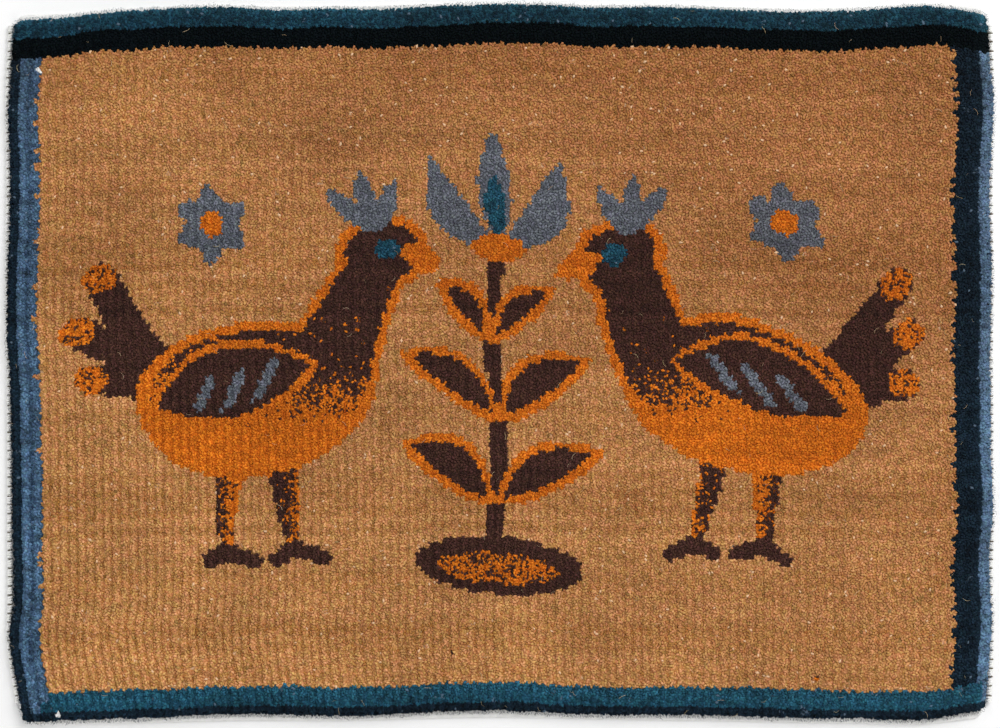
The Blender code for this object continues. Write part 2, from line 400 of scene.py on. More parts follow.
def chart_plant(chart, x, y):
    """A flowering plant on a mound, in the middle."""
    chart.fill(oval(x, y, (0, -22), (9, 2.8)), BROWN, grow=0.2)
    chart.fill(oval(x, y, (0, -22.4), (7, 1.6)), ORANGE, 0.35)
    away = np.abs(x)
    chart.fill(limb(x, y, (0, -20), (0, 14), 1.2, 0.8), BROWN)
    for start, end, half_width in (
        ((0.4, -15), (11, -9), 2.3),
        ((0.4, -6), (10.5, 1), 2.3),
        ((0.4, 3), (6.5, 8.6), 1.6),
    ):
        blade = leaf(away, y, start, end, half_width, bend=0.1)
        chart.fill(blade, ORANGE, grow=0.5)
        chart.fill(blade, BROWN, grow=-0.5)
    chart.fill(leaf(away, y, (0.6, 12.5), (7.6, 22.5), 2.3, bend=-0.14), GREY)
    chart.fill(leaf(x, y, (0, 13), (0, 25.5), 2.0), GREY)
    chart.fill(leaf(x, y, (0, 13.5), (0, 21), 1.3), TEAL)
    chart.fill(oval(x, y, (0, 12.6), (3.2, 1.5)), ORANGE)


def chart_birds(chart, x, y):
    """A pair of birds that face each other, the left one a mirror of the right one."""
    x = np.abs(x)
    body = oval(x, y, (28, -3), (12.5, 7.6), turn=-8)
    neck = limb(x, y, (19, 0), (14.5, 10), 4.6, 3.0)
    head = oval(x, y, (13.6, 12), (4.2, 3.6))
    bird = join(body, neck, head)
    for foot_x, hip_x in ((23, 25), (31, 31)):
        leg = limb(x, y, (hip_x, -9), (foot_x, -19.5), 1.9, 0.8)
        chart.fill(leg, ORANGE, smooth_share(x - foot_x, -1.5, 1.5) * 0.9)
        inner_toe = limb(x, y, (foot_x - 3.4, -21), (foot_x, -20), 0.7, 1.0)
        outer_toe = limb(x, y, (foot_x, -20), (foot_x + 2.4, -21), 1.0, 0.7)
        chart.fill(join(inner_toe, outer_toe), BROWN)
    for end in ((45.5, 9.5), (47.5, 4.2), (46.5, -1.4)):
        chart.fill(limb(x, y, (37, -2), end, 2.2, 1.5), BROWN, grow=0.2)
        chart.fill(oval(x, y, end, (1.9, 1.6)), ORANGE, 0.2)
    back_shade = smooth_share(y + 0.12 * (28 - x), -6.5, 2.0)
    chart.fill(bird, ORANGE, grow=0.9)
    chart.fill(bird, ORANGE, 0.98 * back_shade, grow=-0.1)
    chart.fill(join(head, oval(x, y, (16, 8), (3.4, 3))), BROWN, grow=-0.4)
    wing = leaf(x, y, (20.5, 0.5), (40, -4.5), 4.2, bend=0.04)
    chart.fill(wing, ORANGE, grow=0.5)
    chart.fill(wing, BROWN, grow=-0.4)
    for share in (0.3, 0.5, 0.7):
        bar_x, bar_y = 20.5 + 19.5 * share, -5 * share
        bar = limb(x, y, (bar_x - 1.2, bar_y + 2.2), (bar_x + 1.6, bar_y - 2.6), 0.6, 0.6)
        chart.fill(np.maximum(bar, wing + 1.2), GREY)
    chart.fill(leaf(x, y, (11.6, 12.4), (6.6, 10), 1.5), ORANGE)
    for tip in ((11.6, 20.4), (15.8, 21.4), (19.6, 19.6)):
        chart.fill(leaf(x, y, (14.4, 14.4), tip, 1.15), GREY)
    chart.fill(oval(x, y, (13, 12.4), (1.4, 1.2)), TEAL)


def chart_blooms(chart, x, y):
    """A small flower above each bird's back."""
    away = np.abs(x)
    centre = (33, 16)
    petal_length = 4.6
    for petal in range(6):
        angle = math.radians(60 * petal + 30)
        tip_x = centre[0] + petal_length * math.cos(angle)
        tip_y = centre[1] + petal_length * math.sin(angle)
        chart.fill(leaf(away, y, centre, (tip_x, tip_y), 1.5), GREY)
    chart.fill(oval(away, y, centre, (1.5, 1.5)), ORANGE)


LEFT_STEPS = 0.2
RIGHT_STEPS = 0.5


def chart_borders(chart, draw):
    """Plain stripes round the field. On many rows a side stripe is half a knot wider."""
    rows, columns = chart.yarn.shape
    upper = draw.random((2, KNOT_ROWS)) < 0.5
    stepped = draw.random((2, KNOT_ROWS)) < np.array(((LEFT_STEPS,), (RIGHT_STEPS,)))
    for row in range(rows):
        knot = row // 2
        left_step, right_step = stepped[:, knot] & (upper[:, knot] == row % 2)
        chart.yarn[row, : 2 * LEFT_BORDER - left_step] = SLATE
        chart.yarn[row, :2] = NAVY
        chart.yarn[row, columns - 2 * RIGHT_BORDER - right_step :] = NAVY
        chart.yarn[row, -2:] = SLATE
    chart.yarn[: 2 * NEAR_BORDER, 2 * LEFT_BORDER : -1] = TEAL
    chart.yarn[2:4, 4 : 2 * LEFT_BORDER] = TEAL
    chart.yarn[:2, :] = NAVY
    chart.yarn[-2 * FAR_BORDER :, :] = TEAL
    chart.yarn[-2 * FAR_BORDER : -4, :] = BLACK
    chart.brown[chart.yarn > ORANGE] = 0


StrayKnot = namedtuple("StrayKnot", "column row yarn brown")
STRAY_KNOTS = (
    StrayKnot(column=100, row=12, yarn=FIELD, brown=0.7),
    StrayKnot(column=183, row=8, yarn=FIELD, brown=0.5),
    StrayKnot(column=184, row=8, yarn=ORANGE, brown=0.3),
    StrayKnot(column=5, row=143, yarn=IVORY, brown=0.0),
    StrayKnot(column=7, row=1, yarn=IVORY, brown=0.0),
)


CHART_SEED = 11


def make_chart():
    """The whole chart, drawn with a weaver's small unevenness."""
    draw = np.random.default_rng(CHART_SEED)
    chart = Chart()
    row, column = np.indices(chart.yarn.shape) / 2 - 0.25
    x = column - (LEFT_BORDER + KNOT_COLUMNS - RIGHT_BORDER - 1) / 2
    y = row - (NEAR_BORDER + KNOT_ROWS - FAR_BORDER - 1) / 2
    x = x + 0.35 * np.sin(0.31 * y + 0.6) + 0.25 * np.sin(0.23 * x + 1.1)
    y = y + 0.45 * np.sin(0.17 * x + 0.4) + 0.2 * np.sin(0.4 * y)
    chart_plant(chart, x, y)
    chart_birds(chart, x, y)
    chart_blooms(chart, x, y)
    chart_borders(chart, draw)
    for knot in STRAY_KNOTS:
        chart.yarn[knot.row, knot.column] = knot.yarn
        chart.brown[knot.row, knot.column] = knot.brown
    return chart


# Where each knot stands on the rug

LEFT_STRIPE = 18.7 * MM
RIGHT_STRIPE = 22.6 * MM
NEAR_STRIPE = 18.3 * MM
FAR_STRIPE = 25.3 * MM


def knot_lines(count, first_knots, last_knots, first_width, last_width, reach):
    """Shares, from -1 to 1, of the lines between knots, with wider knots in the stripes."""
    knots = (0, first_knots, count - last_knots, count)
    shares = (-1, -1 + first_width / reach, 1 - last_width / reach, 1)
    return np.interp(np.arange(2 * count + 1) / 2, knots, shares)


COLUMN_LINES = knot_lines(
    KNOT_COLUMNS, LEFT_BORDER, RIGHT_BORDER, LEFT_STRIPE, RIGHT_STRIPE, HALF_LENGTH
)
ROW_LINES = knot_lines(KNOT_ROWS, NEAR_BORDER, FAR_BORDER, NEAR_STRIPE, FAR_STRIPE, HALF_WIDTH)
KNOT_WIDTH = 2 * HALF_LENGTH / KNOT_COLUMNS
KNOT_DEPTH = 2 * HALF_WIDTH / KNOT_ROWS


def rim_walk(columns, rows):
    """Grid places round the rim of a grid of points, anticlockwise seen from above."""
    walk = [(0, i) for i in range(columns)]
    walk += [(j, columns - 1) for j in range(1, rows)]
    walk += [(rows - 1, i) for i in range(columns - 2, -1, -1)]
    walk += [(j, 0) for j in range(rows - 2, 0, -1)]
    return np.array(walk)


def grid_faces(columns, rows, first=0):
    """Corner numbers of the faces between a grid's points, anticlockwise seen from above."""
    number = first + np.arange(columns * rows).reshape(rows, columns)
    corners = (number[:-1, :-1], number[:-1, 1:], number[1:, 1:], number[1:, :-1])
    return np.stack(corners, axis=-1).reshape(-1, 4)


def ring_faces(inner, outer):
    """Faces between two closed rings of point numbers, the outer one lower."""
    return np.stack((inner, outer, np.roll(outer, -1), np.roll(inner, -1)), axis=-1)


def fan_faces(ring, centre):
    """Triangles from a closed ring of point numbers to a point in its middle."""
    return np.stack((ring, np.roll(ring, -1), np.full(len(ring), centre)), axis=-1)


def set_values(mesh, name, kind, domain, values):
    """Writes one value or vector to each point, face or corner of a mesh."""
    layer = mesh.attributes.new(name, kind, domain)
    field = {"FLOAT": "value", "INT": "value", "FLOAT_VECTOR": "vector", "FLOAT2": "vector"}[kind]
    layer.data.foreach_set(field, np.asarray(values).ravel())


def new_mesh(name, points, *kinds_of_faces):
    mesh = bpy.data.meshes.new(name)
    faces = [face for kind in kinds_of_faces for face in kind.tolist()]
    mesh.from_pydata(points.tolist(), [], faces)
    mesh.update()
    return mesh


def new_object(name, mesh):
    obj = bpy.data.objects.new(name, mesh)
    bpy.context.scene.collection.objects.link(obj)
    return obj


# Leaning of the plies, by how far inside the rim they stand
LEAN_INSETS = np.array((0, 2.6, 6, 12)) * MM
LEAN_OUT = np.array((4.4, 3.0, 1.2, 0.0)) * MM
NAP = -0.35 * MM
PLY_ROOT = 3.0 * MM
LONG_PLY_REACH = 7 * MM
RIM_MARGIN = -0.5 * MM
SKIRT_INSETS = (0.9 * MM, 2.2 * MM)
SKIRT_HEIGHTS = (5.3 * MM, 4.0 * MM)
SKIRT_LEANS = ((3.0 * MM, 2.4 * MM), (1.8 * MM, 1.4 * MM))
RIB_RANGE = (0.35, 1.15)
RIB_MIDDLE = 0.75
RIB_SLOPE_X = 0.9
RIB_SLOPE_Y = 1.4
SIDE_TOOTH = 0.16
END_TOOTH = 0.16
TOOTH_REACH = 3
LINE_SHAKE = 0.22 * MM
WAVE_HEIGHT = 0.7 * MM
LEFT_SCALLOP = 1.1 * MM
RIGHT_SCALLOP = 0.6 * MM
NEAR_RAGGED = 1.2 * MM
FAR_RAGGED = 0.8 * MM


def step_lines(x, y, draw):
    """Makes the edges of the stripes toothed, knot by knot, and scallops the outer edges."""
    rows, columns = x.shape
    mid_row = (np.arange(rows) % 2 == 1)[:, None]
    mid_column = (np.arange(columns) % 2 == 1)[None, :]
    index_x = np.arange(columns)[None, :]
    index_y = np.arange(rows)[:, None]

    def bump(count):
        return 0.6 + 0.8 * draw.random(count)

    row_bump = bump(rows)[:, None]
    column_bump = bump(columns)[None, :]
    for line, way in ((2 * LEFT_BORDER, 1), (2 * (KNOT_COLUMNS - RIGHT_BORDER), -1)):
        near_line = np.clip(1 - np.abs(index_x - line) / TOOTH_REACH, 0, 1)
        tooth = np.where(mid_row, 1, -0.8) * row_bump * SIDE_TOOTH * KNOT_WIDTH
        x += way * near_line * tooth
    for line, way in ((2 * NEAR_BORDER, 1), (2 * (KNOT_ROWS - FAR_BORDER), -1)):
        near_line = np.clip(1 - np.abs(index_y - line) / TOOTH_REACH, 0, 1)
        tooth = np.where(mid_column, 1, -1) * column_bump * END_TOOTH * KNOT_DEPTH
        y += way * near_line * tooth
    wave = np.sin(2 * np.pi * x / 0.13 + 0.5) + np.sin(2 * np.pi * x / 0.047 + index_y * 0.02)
    inside = np.clip(np.minimum(index_y, rows - 1 - index_y) / 4, 0, 1)
    y += WAVE_HEIGHT * 0.5 * wave * inside
    inner = (index_x > 0) & (index_x < columns - 1) & (index_y > 0) & (index_y < rows - 1)
    x += inner * draw.normal(0, LINE_SHAKE, x.shape)
    y += inner * draw.normal(0, LINE_SHAKE, y.shape)
    scallop = np.where(mid_row, 0.0, 1.0) * row_bump
    x += np.where(index_x == 0, LEFT_SCALLOP * (scallop - 0.5), 0)
    x -= np.where(index_x == columns - 1, RIGHT_SCALLOP * (scallop - 0.5), 0)
    ragged = draw.random((2, columns))
    y[0] += NEAR_RAGGED * ragged[0] ** 2
    y[-1] -= FAR_RAGGED * ragged[1] ** 2


# Painted highlights on the outer column of each side stripe, strongest on the right one, which
# leans out to the light
RIGHT_LIGHT = 1.4
LEFT_LIGHT = 0.25
# Painted shade in the groove between the left stripe's two columns
LEFT_GROOVE = 0.45
ROW_CHANGE = 0.16
# Rows at the ends made paler or darker; the far stripe's outer rows are paler as a painted
# highlight where their tufts lean out
NEAR_LIGHTS = (-0.2, -0.2, 0.0, 0.05, 0.05, 0.05)
FAR_LIGHTS = (-0.3, -0.3, -0.3, -0.6, -0.95, -0.75, -0.35, -0.05)
PATCH_ROWS = 6


def row_light(shape, draw):
    """How much paler or darker the tufts are: row by row, with painted highlights on the side
    stripes' outer columns and painted shade where the left stripe's columns part.
    """
    rows, columns = shape
    index = np.arange(columns)
    knots = np.arange(0, rows + PATCH_ROWS, PATCH_ROWS)
    patches = 0.4 + 0.9 * np.interp(np.arange(rows), knots, draw.random(len(knots)))
    right = RIGHT_LIGHT * np.clip((index - columns + 4) / 2, 0, 1)
    left = LEFT_LIGHT * (index == 3) - LEFT_GROOVE * (index == 4)
    row = np.repeat(draw.normal(0, ROW_CHANGE, rows // 2 + 1), 2)[:rows]
    row[: len(NEAR_LIGHTS)] += NEAR_LIGHTS
    row[-len(FAR_LIGHTS) :] += FAR_LIGHTS
    return patches[:, None] * right[None, :] + left[None, :] + row[:, None]


def rib_strength(x, y):
    """How much the columns of knots part, and how much painted shade lies between them, more
    towards the near left.
    """
    return np.clip(RIB_MIDDLE - RIB_SLOPE_X * x - RIB_SLOPE_Y * y, *RIB_RANGE)


TipGrid = namedtuple("TipGrid", "x y inset out_x out_y")


def make_tip_grid(draw):
    """The corners of the half knots, with their depth inside the rim and their way out."""
    along, across = np.meshgrid(ROW_LINES, COLUMN_LINES, indexing="ij")
    inset, out_x, out_y = inset_of(across, along)
    x, y = PILE_LINE.place(across, along, RIM_MARGIN, RIM_MARGIN)
    step_lines(x, y, draw)
    return TipGrid(x, y, inset, out_x, out_y)


def make_tip_sheet(chart, pile):
    """A sheet through the cut tips: four faces a knot, which the plies are scattered on."""
    draw = np.random.default_rng(pile.seed + 100)
    x, y, inset, out_x, out_y = make_tip_grid(draw)
    rows, columns = x.shape
    z = pile_height(inset, x, y)
    lean_out = np.interp(inset, LEAN_INSETS, LEAN_OUT)
    rim_share = np.clip(1 - (inset - LONG_PLY_REACH) / LONG_PLY_REACH, 0, 1)
    rise = pile.ply_length + (z - PLY_ROOT - pile.ply_length) * rim_share
    leans = [np.stack((out_x * lean_out, out_y * lean_out + NAP, rise), axis=-1).reshape(-1, 3)]
    points = [np.stack((x, y, z), axis=-1).reshape(-1, 3)]
    faces = [grid_faces(columns, rows)]
    yarn = [chart.yarn.ravel()]
    brown = [chart.brown.ravel()]
    rib = [np.where(np.arange(columns) % 2 == 0, rib_strength(x, y), 0).ravel()]
    # bright: row changes, painted highlights and painted shade, added to each ply's tone
    bright = [row_light(x.shape, draw).ravel()]
    # The skirt: the sides of the outermost tufts, below where they reach furthest
    walk = rim_walk(columns, rows)
    walk_row, walk_column = walk[:, 0], walk[:, 1]
    previous = walk_row * columns + walk_column
    side = (walk_row, walk_column)
    for inward, height, (out, up) in zip(SKIRT_INSETS, SKIRT_HEIGHTS, SKIRT_LEANS):
        ring_x = x[side] - out_x[side] * inward
        ring_y = y[side] - out_y[side] * inward
        points.append(np.stack((ring_x, ring_y, np.full(len(walk), height)), axis=-1))
        leans.append(
            np.stack((out_x[side] * out, out_y[side] * out, np.full(len(walk), up)), axis=-1)
        )
        numbers = sum(len(part) for part in points[:-1]) + np.arange(len(walk))
        faces.append(ring_faces(previous, numbers))
        beside = (np.minimum(walk_row, rows - 2), np.minimum(walk_column, columns - 2))
        yarn.append(chart.yarn[beside])
        brown.append(chart.brown[beside])
        rib.append(np.zeros(len(walk)))
        bright.append(np.zeros(len(walk)))
        previous = numbers
    mesh = new_mesh("tip sheet", np.concatenate(points), np.concatenate(faces))
    set_values(mesh, "lean", "FLOAT_VECTOR", "POINT", np.concatenate(leans))
    set_values(mesh, "rib", "FLOAT", "POINT", np.concatenate(rib))
    set_values(mesh, "bright", "FLOAT", "POINT", np.concatenate(bright))
    set_values(mesh, "yarn", "INT", "FACE", np.concatenate(yarn).astype(np.int32))
    set_values(mesh, "brown", "FLOAT", "FACE", np.concatenate(brown))
    return new_object("tip sheet", mesh)


# Node trees


def add_node(tree, kind, inputs=None, **settings):
    """A node with its settings, and each input given a value or linked from a socket."""
    node = tree.nodes.new(kind)
    for name, value in settings.items():
        setattr(node, name, value)
    for key, value in (inputs or {}).items():
        if isinstance(value, bpy.types.NodeSocket):
            tree.links.new(value, node.inputs[key])
        else:
            node.inputs[key].default_value = value
    return node


def calculate(tree, operation, first, second=0.0, third=0.0):
    """The result of one sum on numbers or sockets."""
    values = {0: first, 1: second, 2: third}
    return add_node(tree, "ShaderNodeMath", values, operation=operation).outputs[0]


def new_geometry_tree(name, inputs):
    """An empty tree for a modifier. The inputs are (name, socket type, default value)."""
    tree = bpy.data.node_groups.new(name, "GeometryNodeTree")
    tree.interface.new_socket("Geometry", in_out="INPUT", socket_type="NodeSocketGeometry")
    for label, kind, default in inputs:
        socket = tree.interface.new_socket(label, in_out="INPUT", socket_type=kind)
        if default is not None:
            socket.default_value = default
    tree.interface.new_socket("Geometry", in_out="OUTPUT", socket_type="NodeSocketGeometry")
    return tree, tree.nodes.new("NodeGroupInput").outputs


def end_geometry_tree(tree, geometry, material):
    """Sets the material last, and joins the tree to its output."""
    inputs = {"Geometry": geometry, "Material": material}
    finished = add_node(tree, "GeometryNodeSetMaterial", inputs)
    add_node(tree, "NodeGroupOutput", {"Geometry": finished.outputs["Geometry"]})


def random_number(tree, low, high, seed):
    """A random number for each point."""
    node = add_node(tree, "FunctionNodeRandomValue", {2: low, 3: high, "Seed": seed})
    return node.outputs[1]


def random_vector(tree, reach, seed):
    """A random vector for each point, up to a reach either way along each axis."""
    inputs = {0: (-reach, -reach, -reach), 1: (reach, reach, reach), "Seed": seed}
    node = add_node(tree, "FunctionNodeRandomValue", inputs, data_type="FLOAT_VECTOR")
    return node.outputs[0]


def stored(tree, name, kind="FLOAT"):
    """An attribute of the geometry."""
    node = add_node(tree, "GeometryNodeInputNamedAttribute", {"Name": name}, data_type=kind)
    return node.outputs["Attribute"]


def store(tree, geometry, name, value, kind="FLOAT", domain="POINT"):
    """Writes an attribute of the geometry."""
    inputs = {"Geometry": geometry, "Name": name, "Value": value}
    node = add_node(
        tree, "GeometryNodeStoreNamedAttribute", inputs, data_type=kind, domain=domain
    )
    return node.outputs["Geometry"]


def apply_tree(obj, tree, values, name):
    """Runs the tree on an object and gives the result as a plain mesh on a new object."""
    modifier = obj.modifiers.new(tree.name, "NODES")
    modifier.node_group = tree
    for item in tree.interface.items_tree:
        if item.item_type == "SOCKET" and item.in_out == "INPUT" and item.name in values:
            modifier[item.identifier] = values[item.name]
    obj.update_tag()
    bpy.context.view_layer.update()
    evaluated = obj.evaluated_get(bpy.context.evaluated_depsgraph_get())
    mesh = bpy.data.meshes.new_from_object(evaluated)
    mesh.name = name
    obj.modifiers.remove(modifier)
    if not mesh.polygons:
        raise RuntimeError(f"the tree {tree.name} made no faces for {name}")
    return new_object(name, mesh)


# Shapes of single plies, made once and repeated by a tree

TipRing = namedtuple("TipRing", "height reach squash")
SHORT_PLY = TipRing(height=-0.14, reach=0.5, squash=0.58)
LONG_PLY = TipRing(height=-0.16, reach=0.48, squash=0.8)
SHAPES_OF_EACH = 6
LONG_FROM = 4.8 * MM
PLY_SIDES = 4
PATCH_RING = 0.36
PATCH_EDGE = 0.62


def ply_shape(name, draw, ring):
    """A cut ply of wool, one long, with its tip at the origin and a point at its root."""
    points, ring_patch, root_patch = [], [], []
    turn = draw.random()
    for side in range(PLY_SIDES):
        angle = 2 * math.pi * (side + turn) / PLY_SIDES
        reach = ring.reach * (0.8 + 0.4 * draw.random())
        rise = ring.height + 0.1 * (draw.random() - 0.5)
        points.append((reach * math.cos(angle), ring.squash * reach * math.sin(angle), rise))
        ray = 2 * math.pi * side / PLY_SIDES
        ring_patch.append((0.5 + PATCH_RING * math.cos(ray), 0.5 + PATCH_RING * math.sin(ray)))
        ray += math.pi / PLY_SIDES
        root_patch.append((0.5 + PATCH_EDGE * math.cos(ray), 0.5 + PATCH_EDGE * math.sin(ray)))
    points.append((0.24 * (draw.random() - 0.5), 0.16 * (draw.random() - 0.5), 0))
    points.append((0, 0, -1))
    tip, root = PLY_SIDES, PLY_SIDES + 1
    faces, patch = [], []
    for side in range(PLY_SIDES):
        after = (side + 1) % PLY_SIDES
        faces.append((side, after, tip))
        patch += (ring_patch[side], ring_patch[after], (0.5, 0.5))
        faces.append((after, side, root))
        patch += (ring_patch[after], ring_patch[side], root_patch[side])
    mesh = bpy.data.meshes.new(name)
    mesh.from_pydata(points, [], faces)
    mesh.shade_smooth()
    set_values(mesh, "tip", "FLOAT", "POINT", [1 + point[2] for point in points])
    set_values(mesh, "patch", "FLOAT2", "CORNER", patch)
    return bpy.data.objects.new(name, mesh)


def make_ply_shapes(seed):
    """A collection of short plies for the field, then long ones for the rim."""
    draw = np.random.default_rng(seed)
    shapes = bpy.data.collections.new("ply shapes")
    for kind, ring in (("a short", SHORT_PLY), ("b long", LONG_PLY)):
        for number in range(SHAPES_OF_EACH):
            shapes.objects.link(ply_shape(f"{kind} ply {number}", draw, ring))
    return shapes


def remove_collection(collection):
    for obj in list(collection.objects):
        bpy.data.objects.remove(obj)
    bpy.data.collections.remove(collection)


def make_pile_tree(shapes):
    """Scatters cut plies of one yarn over the tip sheet."""
    tree, given = new_geometry_tree(
        "cut plies",
        (
            ("Seed", "NodeSocketInt", 0),
            ("Spacing", "NodeSocketFloat", 0.0018),
            ("Ply Width", "NodeSocketFloat", 0.0026),
            ("Tilt", "NodeSocketFloat", 0.25),
            ("Uneven Cut", "NodeSocketFloat", 0.0007),
            ("Rib Drop", "NodeSocketFloat", 0.0008),
            ("Rib Shade", "NodeSocketFloat", 0.3),
            ("Yarn", "NodeSocketInt", 0),
            ("Block Start", "NodeSocketFloat", -1.0),
            ("Block End", "NodeSocketFloat", 1.0),
            ("Material", "NodeSocketMaterial", None),
        ),
    )
    # Points at an even distance from each other, the same ones for every yarn
    crowd = calculate(tree, "DIVIDE", 4.0, calculate(tree, "POWER", given["Spacing"], 2.0))
    scattered = add_node(
        tree,
        "GeometryNodeDistributePointsOnFaces",
        {
            "Mesh": given["Geometry"],
            "Distance Min": given["Spacing"],
            "Density Max": crowd,
            "Seed": given["Seed"],
        },
        distribute_method="POISSON",
    ).outputs["Points"]

    # Plies of other yarns go, and those outside the block
    browned = calculate(
        tree, "LESS_THAN", random_number(tree, 0.0, 1.0, 1), stored(tree, "brown")
    )
    yarn = add_node(
        tree,
        "GeometryNodeSwitch",
        {"Switch": browned, "False": stored(tree, "yarn", "INT"), "True": BROWN},
        input_type="INT",
    ).outputs[0]
    other_yarn = add_node(
        tree,
        "FunctionNodeCompare",
        {2: yarn, 3: given["Yarn"]},
        data_type="INT",
        operation="NOT_EQUAL",
    ).outputs[0]
    place_x = add_node(
        tree, "ShaderNodeSeparateXYZ", {0: add_node(tree, "GeometryNodeInputPosition").outputs[0]}
    ).outputs[0]
    before = calculate(tree, "LESS_THAN", place_x, given["Block Start"])
    after = calculate(tree, "GREATER_THAN", place_x, given["Block End"])
    outside = calculate(tree, "MAXIMUM", before, after)
    unwanted = calculate(tree, "MAXIMUM", other_yarn, outside)
    kept = add_node(
        tree,
        "GeometryNodeDeleteGeometry",
        {"Geometry": scattered, "Selection": unwanted},
        domain="POINT",
    ).outputs[0]

    # Uneven cut, and dips between the columns of knots
    rib = calculate(tree, "POWER", stored(tree, "rib"), 2.0)
    cut = calculate(tree, "MULTIPLY", random_number(tree, 0.0, 1.0, 2), given["Uneven Cut"])
    drop = calculate(tree, "MULTIPLY_ADD", rib, given["Rib Drop"], cut)
    offset = add_node(
        tree, "ShaderNodeCombineXYZ", {"Z": calculate(tree, "MULTIPLY", drop, -1.0)}
    ).outputs[0]
    cut_points = add_node(
        tree, "GeometryNodeSetPosition", {"Geometry": kept, "Offset": offset}
    ).outputs[0]
    # Tone: a random share plus the sheet's bright values, less painted shade between two columns of
    # knots
    bright = calculate(tree, "ADD", random_number(tree, 0.0, 1.0, 3), stored(tree, "bright"))
    dull = calculate(tree, "MULTIPLY", rib, given["Rib Shade"])
    tone = calculate(tree, "SUBTRACT", bright, dull)
    toned = store(tree, cut_points, "tone", tone)
    toned = store(tree, toned, "hue", random_number(tree, 0.0, 1.0, 4))
    toned = store(
        tree, toned, "cell", add_node(tree, "GeometryNodeInputIndex").outputs[0], kind="INT"
    )

    # Each ply leans as the sheet says and a little at random, and is turned about its length
    lean = stored(tree, "lean", "FLOAT_VECTOR")
    length = add_node(
        tree, "ShaderNodeVectorMath", {0: lean}, operation="LENGTH"
    ).outputs["Value"]
    reach = calculate(tree, "MULTIPLY", length, given["Tilt"])
    shake = add_node(
        tree,
        "ShaderNodeVectorMath",
        {0: random_vector(tree, 1.0, 5), "Scale": reach},
        operation="SCALE",
    ).outputs[0]
    shaken = add_node(
        tree, "ShaderNodeVectorMath", {0: lean, 1: shake}, operation="ADD"
    ).outputs[0]
    upright = add_node(
        tree, "FunctionNodeAlignRotationToVector", {"Vector": shaken}, axis="Z"
    ).outputs[0]
    twist = add_node(
        tree,
        "FunctionNodeAxisAngleToRotation",
        {"Axis": (0, 0, 1), "Angle": random_number(tree, 0.0, 2 * math.pi, 6)},
    ).outputs[0]
    rotation = add_node(
        tree,
        "FunctionNodeRotateRotation",
        {"Rotation": upright, "Rotate By": twist},
        rotation_space="LOCAL",
    ).outputs[0]
    width = calculate(tree, "MULTIPLY", given["Ply Width"], random_number(tree, 0.8, 1.15, 7))
    scale = add_node(
        tree, "ShaderNodeCombineXYZ", {"X": width, "Y": width, "Z": length}
    ).outputs[0]
    is_long = calculate(tree, "GREATER_THAN", length, LONG_FROM)
    pick = calculate(tree, "FLOOR", random_number(tree, 0.0, SHAPES_OF_EACH - 0.01, 8))
    pick = calculate(tree, "MULTIPLY_ADD", is_long, float(SHAPES_OF_EACH), pick)
    ply_shapes = add_node(
        tree,
        "GeometryNodeCollectionInfo",
        {"Collection": shapes, "Separate Children": True, "Reset Children": True},
    ).outputs[0]
    plies = add_node(
        tree,
        "GeometryNodeInstanceOnPoints",
        {
            "Points": toned,
            "Instance": ply_shapes,
            "Pick Instance": True,
            "Instance Index": pick,
            "Rotation": rotation,
            "Scale": scale,
        },
    ).outputs[0]
    count = add_node(
        tree, "GeometryNodeAttributeDomainSize", {"Geometry": toned}, component="POINTCLOUD"
    ).outputs["Point Count"]
    realized = add_node(tree, "GeometryNodeRealizeInstances", {"Geometry": plies}).outputs[0]
    mapped = store_cells(tree, realized, count)
    end_geometry_tree(tree, mapped, given["Material"])
    return tree


def store_cells(tree, geometry, count):
    """A flat map in which each repeated shape has a square cell of its own."""
    cells = calculate(tree, "CEIL", calculate(tree, "SQRT", count))
    cell = stored(tree, "cell", "INT")
    cell_x = calculate(tree, "MODULO", cell, cells)
    middle = calculate(tree, "ADD", cell, 0.5)
    cell_y = calculate(tree, "FLOOR", calculate(tree, "DIVIDE", middle, cells))
    patch = add_node(
        tree, "ShaderNodeSeparateXYZ", {0: stored(tree, "patch", "FLOAT_VECTOR")}
    ).outputs
    place = {}
    for axis, start, share in (("X", cell_x, patch[0]), ("Y", cell_y, patch[1])):
        inside = calculate(tree, "MULTIPLY_ADD", share, 0.9, 0.05)
        place[axis] = calculate(tree, "DIVIDE", calculate(tree, "ADD", start, inside), cells)
    spot = add_node(tree, "ShaderNodeCombineXYZ", place).outputs[0]
    mapped = store(tree, geometry, "OFBake", spot, kind="FLOAT2", domain="CORNER")
    for name in ("patch", "cell"):
        mapped = add_node(
            tree, "GeometryNodeRemoveAttribute", {"Geometry": mapped, "Name": name}
        ).outputs[0]
    return mapped


# Finishes


def new_shader_group(name, inputs, outputs):
    """An empty shader group. The inputs are (name, socket type, default value)."""
    tree = bpy.data.node_groups.new(name, "ShaderNodeTree")
    for label, kind, default in inputs:
        socket = tree.interface.new_socket(label, in_out="INPUT", socket_type=kind)
        socket.default_value = default
    for label, kind in outputs:
        tree.interface.new_socket(label, in_out="OUTPUT", socket_type=kind)
    return tree, tree.nodes.new("NodeGroupInput").outputs


def noise(tree, place, scale, detail=2.0, stretch=None):
    """Fractal noise from 0 to 1 at a place, stretched along some axes."""
    if stretch is not None:
        place = add_node(
            tree, "ShaderNodeVectorMath", {0: place, 1: stretch}, operation="MULTIPLY"
        ).outputs[0]
    node = add_node(
        tree, "ShaderNodeTexNoise", {"Vector": place, "Scale": scale, "Detail": detail}
    )
    return node.outputs["Fac"]


def spread(tree, value, low, high, to_low, to_high):
    """The value from one range in another, kept within it."""
    inputs = {"Value": value, 1: low, 2: high, 3: to_low, 4: to_high}
    return add_node(tree, "ShaderNodeMapRange", inputs, clamp=True).outputs[0]


